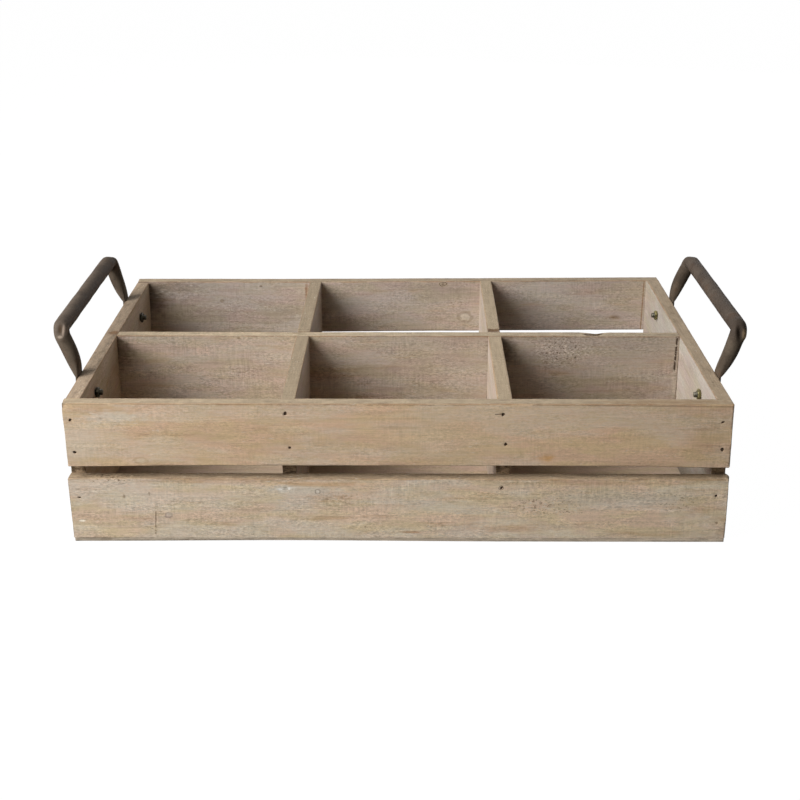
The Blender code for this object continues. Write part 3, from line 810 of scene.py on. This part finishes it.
def nail_chance(node, number):
    """A value from 0 to 1 that belongs to one nail."""
    tenths = [round(v * 10000) for v in head_place(node)]
    return float(lattice_random(np.array([tenths]), NAIL_SEED + number)[0])


def nail_outline(node, extra=0.0):
    """The uneven oval of a nail's head, as (x, y) pairs in its own frame."""
    chances = [nail_chance(node, number) for number in range(1, 6)]
    usual = (0.95 + 0.45 * chances[0], 0.82 + 0.22 * chances[1], pi * chances[2])
    wide, narrow, turn = NAIL_HEADS.get(node, usual)
    outline = []
    for side in range(NAIL_SIDES):
        angle = 2 * pi * side / NAIL_SIDES
        bulge = 1 + 0.10 * sin(2 * angle + 6 * chances[3]) + 0.08 * sin(3 * angle + 6 * chances[4])
        x = (NAIL_RADIUS * wide + extra) * bulge * cos(angle)
        y = (NAIL_RADIUS * narrow + extra) * bulge * sin(angle)
        outline.append((x * cos(turn) - y * sin(turn), x * sin(turn) + y * cos(turn)))
    return outline


def hole_cutter(node):
    """The hole of a nail or of a bolt's shank."""
    place, length = long_axis(node)
    if node.endswith("_bolt"):
        outline = circle(SHANK_RADIUS + HOLE_CLEARANCE, BOLT_SIDES)
    else:
        outline = nail_outline(node, NAIL_CLEARANCE)
    rings = [ring_at(place, outline, z) for z in (-length - OVERRUN, OVERRUN)]
    return new_object("cutter", new_mesh("cutter", *loft(rings)))


def box_cutter(low, high):
    low, high = Vector(low), Vector(high)
    mesh = bpy.data.meshes.new("cutter")
    shape = bmesh.new()
    matrix = Matrix.Translation((low + high) / 2) @ Matrix.Diagonal((*(high - low), 1.0))
    bmesh.ops.create_cube(shape, size=1.0, matrix=matrix)
    shape.to_mesh(mesh)
    shape.free()
    return new_object("cutter", mesh)


def cut(obj, cutters):
    """Takes the cutters out of the object, and leaves its mesh plain."""
    group = bpy.data.collections.new("cutters")
    for cutter in cutters:
        group.objects.link(cutter)
    boolean = obj.modifiers.new("cuts", "BOOLEAN")
    boolean.operand_type = "COLLECTION"
    boolean.collection = group
    boolean.solver = "MANIFOLD"
    bpy.context.view_layer.update()
    seen = obj.evaluated_get(bpy.context.evaluated_depsgraph_get())
    mesh = bpy.data.meshes.new_from_object(seen)
    obj.modifiers.clear()
    obj.data = mesh
    for cutter in cutters:
        bpy.data.objects.remove(cutter)
    bpy.data.collections.remove(group)


# Boards

class Board:
    """A board's own axes: along its grain, across its width and through its thickness."""

    def __init__(self, name, number):
        self.name = name
        self.number = number
        low, high = (np.array(corner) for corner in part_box(name))
        order = np.argsort(low - high)
        self.axes = np.eye(3)[order]
        self.size = (high - low)[order]
        self.middle = (low + high) / 2
        self.taper = 0.0
        self.radius = EDGE_RADIUS if name.endswith("_slat") else CRISP_RADIUS
        self.follow(point_array(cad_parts[name].data) - self.middle)

    def follow(self, points):
        """Finds how far a standing board is turned, or how much the lying one tapers."""
        along, beside = points @ self.axes[0], points @ self.axes[2 if self.axes[1][2] else 1]
        end = self.size[0] / 2 - OVERRUN
        drift = beside[along > end].max() - beside[along < -end].max()
        if not self.axes[1][2]:
            self.taper = drift
        elif abs(drift) > OVERRUN / 2:
            angle = atan2(drift, self.size[0])
            grain, through = self.axes[0].copy(), self.axes[2].copy()
            self.axes[0] = cos(angle) * grain + sin(angle) * through
            self.axes[2] = cos(angle) * through - sin(angle) * grain
            self.size[2] -= abs(drift)
            self.size[0] = 2 * (points @ self.axes[0]).max()
        if self.name.endswith("_divider"):
            self.size[0] += 2 * SNUG_END
        if self.name.endswith("_lower_slat"):
            self.size[1] += SNUG_FOOT
            self.middle[2] -= SNUG_FOOT / 2

    def warp(self, places):
        """How far the board's ends and edges stray from straight at these places."""
        shift = np.zeros_like(places)
        for centre, radii, reach in WARPS.get(self.name, ()):
            share = np.exp(-distances(places, mm(centre), mm(radii)) ** 2)
            shift += share[:, None] * np.array(mm(reach))
        return shift

    def narrowing(self, points):
        """The width of a tapering board here as a share of its width at the wide end."""
        width = self.size[1] - self.taper * (0.5 - points[:, 0] / self.size[0])
        return width / self.size[1]

    def inward(self, points):
        """Places in the frame as (along, across, through), from the board's middle."""
        local = (points - self.warp(points) - self.middle) @ self.axes.T
        local[:, 1] = (local[:, 1] + self.size[1] / 2) / self.narrowing(local) - self.size[1] / 2
        return local

    def outward(self, points):
        local = points.copy()
        local[:, 1] = (local[:, 1] + self.size[1] / 2) * self.narrowing(local) - self.size[1] / 2
        places = local @ self.axes + self.middle
        return places + self.warp(places)


def stations(length, step, radius):
    """Places along a side: even ones, and closer ones over the rounded edges."""
    arc = [radius - radius * tan(pi / 4 * i / ARC_STEPS) for i in range(ARC_STEPS, 0, -1)]
    edge = arc + [radius, radius + EDGE_BAND]
    count = max(1, round((length - 2 * edge[-1]) / step))
    inner = np.linspace(edge[-1], length - edge[-1], count + 1)
    return np.concatenate([edge[:-1], inner, [length - place for place in reversed(edge[:-1])]])


def grid_box(size, step, radius):
    """The skin of a box as points, outward directions and quads, with its edges rounded."""
    lines = [stations(length, step, radius) for length in size]
    shape = [len(line) for line in lines]
    index = np.indices(shape)
    skin = np.zeros(shape, bool)
    for axis in range(3):
        skin |= (index[axis] == 0) | (index[axis] == shape[axis] - 1)
    number = np.full(shape, -1)
    number[skin] = np.arange(skin.sum())
    points = np.stack([lines[axis][index[axis][skin]] for axis in range(3)], axis=1)
    inner = np.clip(points, radius, np.array(size) - radius)
    out = points - inner
    out /= np.linalg.norm(out, axis=1)[:, None]
    quads = []
    for axis, end in product(range(3), (0, -1)):
        sheet = np.take(number, end, axis=axis)
        corners = [sheet[:-1, :-1], sheet[1:, :-1], sheet[1:, 1:], sheet[:-1, 1:]]
        if (end == 0) == (axis != 1):
            corners.reverse()
        quads.append(np.stack([c.ravel() for c in corners], axis=1))
    return inner + out * radius - np.array(size) / 2, out, np.concatenate(quads)


def roughen(board, points, out):
    """How far each point of a board's skin stands out: waves, ridges, wear and chips."""
    seed = board.number * 10
    edges = ROUGH_EDGES.get(board.name, USUAL_ROUGHNESS)
    rounded = edges * ((np.abs(out) > EDGE_TILT).sum(axis=1) > 1)
    lift = WAVE_DEPTH * smooth_noise(points, (130, 45, 45), seed)
    lift += RIDGE_DEPTH * smooth_noise(points, (35, 4.2, 4.2), seed + 1)
    lift += RIDGE_DEPTH * smooth_noise(points, (4.5, 4, 4), seed + 2)
    worn = 0.5 + 0.5 * smooth_noise(points, (30, 14, 14), seed + 3)
    lift -= rounded * WEAR_DEPTH * worn
    chips = smooth_step(smooth_noise(points, (7, 5, 5), seed + 4), 0.45, 0.95)
    chips *= smooth_step(smooth_noise(points, (60, 60, 60), seed + 5), -0.1, 0.5)
    lift -= rounded * CHIP_DEPTH * chips
    places = board.outward(points)
    for centre, radii, depth in BITES.get(board.name, ()):
        lift -= depth / 1000 * np.exp(-distances(places, mm(centre), mm(radii)) ** 2)
    for nail in nails_in(board.name):
        lift -= DIMPLE_DEPTH * np.exp(-distances(places, head_place(nail), DIMPLE_RADIUS) ** 2)
    return lift


def board_cutters(board):
    """The notches where boards cross, and the holes of the nails and bolts in a board."""
    touching = [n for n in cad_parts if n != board.name and touches(n, board.name)]
    nails = [n for n in nails_in(board.name) if n not in PAINTED_OVER]
    cutters = [hole_cutter(n) for n in touching if n.endswith("_bolt") or n in nails]
    if not board.name.endswith("_divider"):
        return cutters
    low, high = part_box(board.name)
    middle = (low.z + high.z) / 2
    for node in [n for n in touching if n.endswith("_divider")]:
        other_low, other_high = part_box(node)
        if board.name.endswith("_cross_divider"):
            first = (low.x - OVERRUN, other_low.y - NOTCH_CLEARANCE, middle)
            last = (high.x + OVERRUN, other_high.y + NOTCH_CLEARANCE, high.z + OVERRUN)
        else:
            reach = Board(node, 0).size[2] / 2 + NOTCH_CLEARANCE
            x = (other_low.x + other_high.x) / 2
            first = (x - reach, low.y - OVERRUN, low.z - OVERRUN)
            last = (x + reach, high.y + OVERRUN, middle)
        cutters.append(box_cutter(first, last))
    return cutters


def rust_marks(board):
    """Brown stains round the nails in a board's front."""
    places = [head_place(n) for n in nails_in(board) if n not in PAINTED_OVER]
    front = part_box(board)[0].y + OVERRUN
    return [stain_or_shade((p.x * 1000, p.z * 1000), RUST_RADII, RUST, 0.45, 0.9) for p in places if p.y < front]


def add_board(name, number):
    """A sawn board with worn edges, in place of its plain solid."""
    board = Board(name, number)
    points, out, quads = grid_box(board.size, GRID_STEP.get(name, USUAL_STEP), board.radius)
    # Left-handed axes would turn the skin inside out
    if np.linalg.det(board.axes) < 0:
        quads = quads[:, ::-1]
    points = points + out * roughen(board, points, out)[:, None]
    mesh = new_mesh(name, board.outward(points).tolist(), quads.tolist())
    mesh.validate()
    slot = "plywood" if name == "base_panel" else "washed_softwood"
    material = wood_material(name + "_wood", LOOKS[name], MARKS.get(name, []) + rust_marks(name))
    piece = add_piece(name + "_sawn", mesh, material, slot, name)
    cut(piece, board_cutters(board))
    local = board.inward(point_array(piece.data))
    along, across, through = (board.size / 2 - np.abs(local)).T
    corner = np.hypot(np.maximum(across, 0), np.maximum(through, 0))
    arris = (1 - smooth_step(corner, 0.0, ARRIS_WIDTH)) * (local[:, 1] > 0)
    side = smooth_step(np.minimum(along, through) - across, -FACE_BLEND, FACE_BLEND)
    butt = smooth_step(np.minimum(across, through) - along, -FACE_BLEND, FACE_BLEND)
    values = {"grain": local + GRAIN_SHIFT * number, "arris": arris, "side": side, "butt": butt}
    for kind, value in values.items():
        write_attribute(piece.data, kind, value)
    smooth(piece, sharp=48)


# Handles

# Spots on the handles: painted shade in the dents' hollows, painted highlights and painted light round
# them, and dark spots on the right rear leg
HANDLE_SHADING_MARKS = [
    # Left front bend: painted shade in the hollow, then painted highlights on its rim and below it
    spot((-263.1, -107, 151.2), (2.6, 8, 6.2), "403224", 0.8),
    spot((-260.4, -107, 150.8), (1.4, 8, 7.8), "88796c", 0.8),
    spot((-262.7, -107, 145.2), (3, 8, 1.5), "928476", 0.8),
    spot((-257.6, -105, 150), (0.8, 8, 6.5), "8c7c6a", 0.6),
    # Right front bend: painted shade in the hollow, and painted light on the facet beside it
    spot((264, -106, 150.5), (3.4, 8, 12), "281f17", 0.9, 0.9),
    spot((270, -106, 146.5), (3.6, 8, 8.5), "ac9474", 0.85),
    # Right rear leg: two dark spots
    spot((262, 105, 149), (1.8, 8, 5), "282018", 0.8),
    spot((265.5, 105, 142), (1.4, 8, 3.6), "30261d", 0.7),
]


def steel_material():
    """Antiqued steel: brown-grey and mottled, with rust-brown patches, a grip darkened as painted shade,
    and painted shade and highlights round the dents.
    """
    s = new_shader("antiqued_steel")
    place = s.place()
    mottle = s.noise(place, (16, 16, 16), 4.0, 0.6)
    fine = s.noise(place, (1.6, 1.6, 1.6), 3.0, 0.6)
    rust = s.ramp(s.noise(place, (22, 22, 22), 4.0, 0.65, shift=(3.1, 1.7, 0.4)), 0.54, 0.70)
    colour = s.mix(s.ramp(mottle, 0.35, 0.65), tone("4f453b"), tone("62574b"))
    colour = s.mix(s.times(rust, 0.45), colour, tone("58402e"))
    x, y, z = s.split(place)
    # Painted shade: the grip darker than the legs, as its top gets less of the light
    colour = s.mix(s.ramp(z, *GRIP_SHADE_HEIGHTS), colour, s.mix(1.0, colour, GRIP_SHADE_TINT, "MULTIPLY"))
    colour = s.shade(colour, s.ramp(fine, 0.3, 0.7, 0.92, 1.08))
    # Painted shade and highlights round the dents
    for mark in HANDLE_SHADING_MARKS:
        colour = mark(s, colour)
    bumps = s.bump(s.plus(s.times(mottle, 2.0), fine), *STEEL_BUMP)
    dull = s.ramp(mottle, 0.3, 0.7, 0.62, 0.78)
    return s.finish(Base_Color=colour, Roughness=dull, Specular_IOR_Level=0.02, Normal=bumps)


def bend_places(corner, before, after):
    """The arc between two straight runs: places, their flatness and how deep in the bend."""
    turn = before.angle(after)
    start = corner - before * BEND_RADIUS * tan(turn / 2)
    inward = (after - before * before.dot(after)).normalized()
    places = []
    for step in range(BEND_RINGS + 1):
        share = step / BEND_RINGS
        offset = before * sin(turn * share) + inward * (1 - cos(turn * share))
        places.append((start + offset * BEND_RADIUS, LEG_FLATNESS * (1 - share), sin(pi * share)))
    return places


def section_outline(flatness, depth):
    """A section of the tube as (across, out) pairs: round, hammered flat or pinched."""
    width = TUBE_DIAMETER + (FLAT_WIDTH - TUBE_DIAMETER) * flatness
    thickness = TUBE_DIAMETER + (FLAT_THICKNESS - TUBE_DIAMETER) * flatness
    width *= 1 + (PINCH_SHARE - 1) * depth
    thickness *= 1 + (SWELL_SHARE - 1) * depth
    power = 2 / (ROUND_POWER + (FLAT_POWER - ROUND_POWER) * flatness)
    outline = []
    for side in range(HANDLE_SIDES):
        angle = 2 * pi * (side + 0.5) / HANDLE_SIDES
        across = abs(cos(angle)) ** power * (1 if cos(angle) > 0 else -1)
        out = abs(sin(angle)) ** power * (1 if sin(angle) > 0 else -1)
        outline.append((across * width / 2, out * thickness / 2))
    return outline


def half_handle(reach, half_span, tab_length, bow):
    """Places from a tab's end to the middle of the grip: point, flatness and bend depth."""
    tab_end = Vector((TAB_OUT, -half_span, -tab_length))
    tab_top = Vector((TAB_OUT, -half_span, 0))
    corner = Vector((reach, -half_span, HANDLE_RISE))
    bend = bend_places(corner, (corner - tab_top).normalized(), Vector((0, 1, 0)))
    places = [(tab_end.lerp(tab_top, i / TAB_RINGS), 1.0, 0.0) for i in range(TAB_RINGS)]
    for i in range(LEG_RINGS):
        share = i / LEG_RINGS
        place = tab_top.lerp(bend[0][0], share) + Vector((bow * sin(pi * share), 0, 0))
        flatness = LEG_FLATNESS + (1 - LEG_FLATNESS) * (1 - share) ** LEG_FLATTENING
        places.append((place, flatness, 0.0))
    places += bend
    middle = Vector((reach, 0, HANDLE_RISE))
    rings = GRIP_RINGS // 2
    return places + [(bend[-1][0].lerp(middle, i / rings), 0.0, 0.0) for i in range(1, rings)]


def handle_rings(reach, half_span, tab_length, bows):
    first, last = (half_handle(reach, half_span, tab_length, bow) for bow in bows)
    middle = [(Vector((reach, 0, HANDLE_RISE)), 0.0, 0.0)]
    mirrored = [(Vector((p.x, -p.y, p.z)), flatness, depth) for p, flatness, depth in reversed(last)]
    places = first + middle + mirrored
    lean = atan2(reach - TAB_OUT, HANDLE_RISE)
    rings = []
    for index, (place, flatness, depth) in enumerate(places):
        before = places[max(index - 1, 0)][0]
        after = places[min(index + 1, len(places) - 1)][0]
        along = (after - before).normalized()
        upright = 1 - min(1.0, max(0.0, place.z / TAB_TURN))
        out = Vector((cos(lean), 0, -sin(lean))).lerp(Vector((1, 0, 0)), upright)
        out = (out - along * out.dot(along)).normalized()
        across = out.cross(along)
        rings.append([place + across * a + out * o for a, o in section_outline(flatness, depth)])
    return rings


def dent(points, centre, radii, depth, ridge):
    """How far a skin is pushed in round a place, with a ridge round the hollow."""
    distance = distances(points, mm(centre), mm(radii))
    raised = ridge * np.exp(-((distance - 1.0) / RIDGE_WIDTH) ** 2)
    return (raised - depth * np.exp(-distance ** 2 * HOLLOW_STEEPNESS)) / 1000


def add_handle(end, side, material):
    """A hand-bent tube with hammered legs, in place of its plain solid."""
    name = end + "_handle_forged"
    bolts = [f"{end}_{leg}_bolt" for leg in ("front", "rear")]
    middles = [sum(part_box(bolt), Vector()) / 2 for bolt in bolts]
    span = middles[1].y - middles[0].y
    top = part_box("front_upper_slat")[1].z
    tab_length = top - min(middle.z for middle in middles) + TAB_BELOW_BOLT
    face = abs(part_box(end + "_end_board")[0 if side < 0 else 1].x)
    bows = LEG_BOWS[end] if side > 0 else LEG_BOWS[end][::-1]
    points, faces = loft(handle_rings(HANDLE_REACHES[end], span / 2, tab_length, bows))
    turn = Matrix.Rotation(0 if side > 0 else pi, 4, "Z")
    place = Matrix.Translation((side * face, (middles[0].y + middles[1].y) / 2, top)) @ turn
    mesh = new_mesh(name, [place @ p for p in points], faces)
    normals = np.array([v.normal for v in mesh.vertices])
    shape = point_array(mesh)
    seed = FORGE_SEED + side
    lift = FORGE_DEPTH * smooth_noise(shape, (16, 16, 16), seed)
    lift += FORGE_DEPTH / 3 * smooth_noise(shape, (5, 5, 5), seed + 7)
    for values in HANDLE_DENTS[end]:
        lift += dent(shape, *values)
    mesh.vertices.foreach_set("co", (shape + normals * lift[:, None]).ravel())
    mesh.update()
    piece = add_piece(name, mesh, material, "dark_steel", end + "_handle")
    cut(piece, [hole_cutter(bolt) for bolt in bolts])
    smooth(piece, sharp=50)


# Fasteners

def metal_material(name, dark, light, size, rough, metallic, dull, depth, strength):
    """Dulled or oxidised metal, mottled between two colours."""
    s = new_shader(name)
    mottle = s.noise(s.place(), (size, size, size), 3.0, rough)
    colour = s.mix(s.ramp(mottle, 0.35, 0.65), tone(dark), tone(light))
    roughness = s.ramp(mottle, 0.3, 0.7, *dull)
    bumps = s.bump(mottle, depth, strength)
    return s.finish(Base_Color=colour, Metallic=metallic, Roughness=roughness, Normal=bumps)


def add_nail(node, material):
    """A brad with a small uneven head, driven a little way in."""
    place, length = long_axis(node)
    sunk = NAIL_SINK * nail_chance(node, 6)
    shank = (
        (NAIL_SHANK / 3, -length),
        (NAIL_SHANK, NAIL_POINT - length),
        (NAIL_SHANK, -sunk - 2 * NAIL_HEAD_HEIGHT),
    )
    rings = [ring_at(place, circle(radius, NAIL_SIDES), z) for radius, z in shank]
    for share, depth in ((1.0, 1.0), (1.0, 1 / 3), (0.6, 0.0)):
        outline = [(x * share, y * share) for x, y in nail_outline(node)]
        rings.append(ring_at(place, outline, -sunk - NAIL_HEAD_HEIGHT * depth))
    piece = add_piece(node + "_driven", new_mesh(node, *loft(rings)), material, "nail_steel", node)
    smooth(piece, sharp=50)


def add_nut(node, bolt, number, material):
    """A hexagonal nut with its corners chamfered on both faces, over its bolt's thread."""
    place = long_axis(bolt)[0]
    outer = max((place.inverted() @ corner).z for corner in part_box(node))
    inner = outer - NUT_HEIGHT
    corner = NUT_WIDTH / 2 / cos(pi / 6)
    rings = []
    for z, chamfer in ((inner, 1), (inner + NUT_CHAMFER, 0), (outer - NUT_CHAMFER, 0), (outer, 1)):
        outline = []
        for side in range(NUT_SIDES):
            angle = 2 * pi * side / NUT_SIDES
            radius = NUT_WIDTH / 2 / cos((angle + pi / 6) % (pi / 3) - pi / 6)
            if chamfer:
                radius = min(radius, corner - NUT_CORNER_CHAMFER)
            turned = angle + NUT_TURNS[number]
            outline.append((radius * cos(turned), radius * sin(turned)))
        rings.append(ring_at(place, outline, z))
    piece = add_piece(node + "_chamfered", new_mesh(node, *loft(rings)), material, "dulled_zinc", node)
    cut(piece, [hole_cutter(bolt)])
    smooth(piece, sharp=25)


def thread_ring(place, z):
    """A ring of a thread, where the ridge climbs one pitch in a turn."""
    outline = []
    for side in range(BOLT_SIDES):
        phase = (z / THREAD_PITCH + side / BOLT_SIDES) % 1
        radius = SHANK_RADIUS - THREAD_DEPTH * abs(2 * phase - 1)
        angle = 2 * pi * side / BOLT_SIDES
        outline.append((radius * cos(angle), radius * sin(angle)))
    return ring_at(place, outline, z)


def add_bolt(node, number, material):
    """A slotted pan head bolt whose threaded end stands out of its nut."""
    place, length = long_axis(node)
    steps = round(THREAD_LENGTH / THREAD_PITCH * THREAD_STEPS)
    start = THREAD_START - length
    rings = [ring_at(place, circle(SHANK_RADIUS - 2 * THREAD_DEPTH, BOLT_SIDES), -length)]
    rings += [thread_ring(place, start + THREAD_LENGTH * i / steps) for i in range(steps + 1)]
    rings.append(ring_at(place, circle(SHANK_RADIUS, BOLT_SIDES), -BOLT_HEAD_HEIGHT))
    for share, z_share in BOLT_HEAD_PROFILE:
        outline = circle(BOLT_HEAD_RADIUS * share, BOLT_SIDES)
        rings.append(ring_at(place, outline, -BOLT_HEAD_HEIGHT * z_share))
    piece = add_piece(node + "_threaded", new_mesh(node, *loft(rings)), material, "dulled_zinc", node)
    reach = BOLT_HEAD_RADIUS * SLOT_REACH
    slot = box_cutter((-reach, -SLOT_WIDTH / 2, -SLOT_DEPTH), (reach, SLOT_WIDTH / 2, OVERRUN))
    slot.matrix_world = place @ Matrix.Rotation(SLOT_TURNS[number], 4, "Z")
    cut(piece, [slot])
    smooth(piece, sharp=35)


# Studio

def backdrop_rays(s):
    """1 for the rays that see the backdrop: the camera's, and those off or through a surface."""
    path = s.add("ShaderNodeLightPath").outputs
    seen = s.calc("MAXIMUM", path["Is Camera Ray"], path["Is Glossy Ray"])
    return s.calc("MAXIMUM", seen, path["Is Transmission Ray"])


def show_mixed(s, output, share, first, second):
    """Sends a mix of two surfaces to the output."""
    mixed = s.add("ShaderNodeMixShader", share, first.outputs[0], second.outputs[0])
    s.put(s.tree.nodes[output].inputs["Surface"], mixed.outputs[0])


def add_world():
    s = Shader(bpy.data.worlds.new("studio"))
    bpy.context.scene.world = s.owner
    s.tree.nodes.remove(s.tree.nodes["Background"])
    dim = s.add("ShaderNodeBackground", WORLD_COLOUR, WORLD_STRENGTH)
    white = s.add("ShaderNodeBackground", WHITE)
    show_mixed(s, "World Output", backdrop_rays(s), dim, white)


def add_floor():
    half = FLOOR_SIZE / 2
    corners = [(-half, -half, 0), (half, -half, 0), (half, half, 0), (-half, half, 0)]
    floor = new_object("floor", new_mesh("floor", corners, [(0, 1, 2, 3)]))
    s = new_shader("studio_floor")
    s.tree.nodes.remove(s.tree.nodes["Principled BSDF"])
    grey = s.add("ShaderNodeBsdfDiffuse", FLOOR_GREY)
    white = s.add("ShaderNodeEmission", WHITE, FLOOR_WHITE)
    show_mixed(s, "Material Output", s.times(backdrop_rays(s), FLOOR_WHITE_SHARE), grey, white)
    floor.data.materials.append(s.owner)


def add_lamp(name, source, distance, size, power):
    """A soft square lamp on this side of the box, aimed at it."""
    lamp = new_object(name, bpy.data.lights.new(name, "AREA"))
    lamp.data.size = size
    lamp.data.energy = power
    direction = Vector(source).normalized()
    lamp.location = direction * distance
    lamp.rotation_euler = direction.to_track_quat("Z", "Y").to_euler()


def add_camera():
    camera = new_object("camera", bpy.data.cameras.new("camera"))
    camera.data.sensor_width = SENSOR_WIDTH_MM
    camera.data.lens = FOCAL_PIXELS / IMAGE_SIZE * SENSOR_WIDTH_MM
    camera.data.shift_y = (PRINCIPAL_ROW - IMAGE_SIZE / 2) / IMAGE_SIZE
    pitch, yaw, roll = radians(CAMERA_PITCH), radians(CAMERA_YAW), radians(CAMERA_ROLL)
    forward = Vector((sin(yaw) * cos(pitch), cos(yaw) * cos(pitch), -sin(pitch)))
    level = Vector((cos(yaw), -sin(yaw), 0))
    upright = level.cross(forward)
    right = level * cos(roll) + upright * sin(roll)
    up = upright * cos(roll) - level * sin(roll)
    turn = Matrix((right, up, -forward)).transposed().to_4x4()
    camera.matrix_world = Matrix.Translation(CAMERA_PLACE) @ turn
    bpy.context.scene.camera = camera


add_camera()
add_world()
add_floor()
for lamp_name, lamp in LAMPS.items():
    add_lamp(lamp_name, *lamp)
bpy.context.scene.view_settings.view_transform = "Standard"

for number, name in enumerate(LOOKS, 1):
    add_board(name, number)
STEEL = steel_material()
for end, side in (("left", -1), ("right", 1)):
    add_handle(end, side, STEEL)
# A metal's finish: size and roughness of its mottling, how metallic and dull it is, and the
# depth and strength of its bumps
OXIDE = (0.8, 0.60, 0.3, (0.60, 0.80), 0.00008, 0.5)
NAIL = metal_material("oxidised_nail", "2e2218", "584432", *OXIDE)
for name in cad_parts:
    if "_nail_" in name:
        add_nail(name, NAIL)
PLATING = (2, 0.65, 0.55, (0.38, 0.58), 0.0001, 0.4)
# Painted shade: the left end's nuts and bolts take a darker copy of the zinc, as they sit in shade
SHADED_ZINC = metal_material("shade_darkened_zinc", "242018", "484230", *PLATING)
OLIVE = metal_material("olive_zinc", "645c3a", "948a5e", *PLATING)
GREY = metal_material("grey_zinc", "4a463c", "767062", *PLATING)
ZINC = {"left": (SHADED_ZINC, SHADED_ZINC), "right": (OLIVE, GREY)}
for number, (end, leg) in enumerate(product(("left", "right"), ("front", "rear"))):
    add_nut(f"{end}_{leg}_nut", f"{end}_{leg}_bolt", number, ZINC[end][0])
    add_bolt(f"{end}_{leg}_bolt", number, ZINC[end][1])
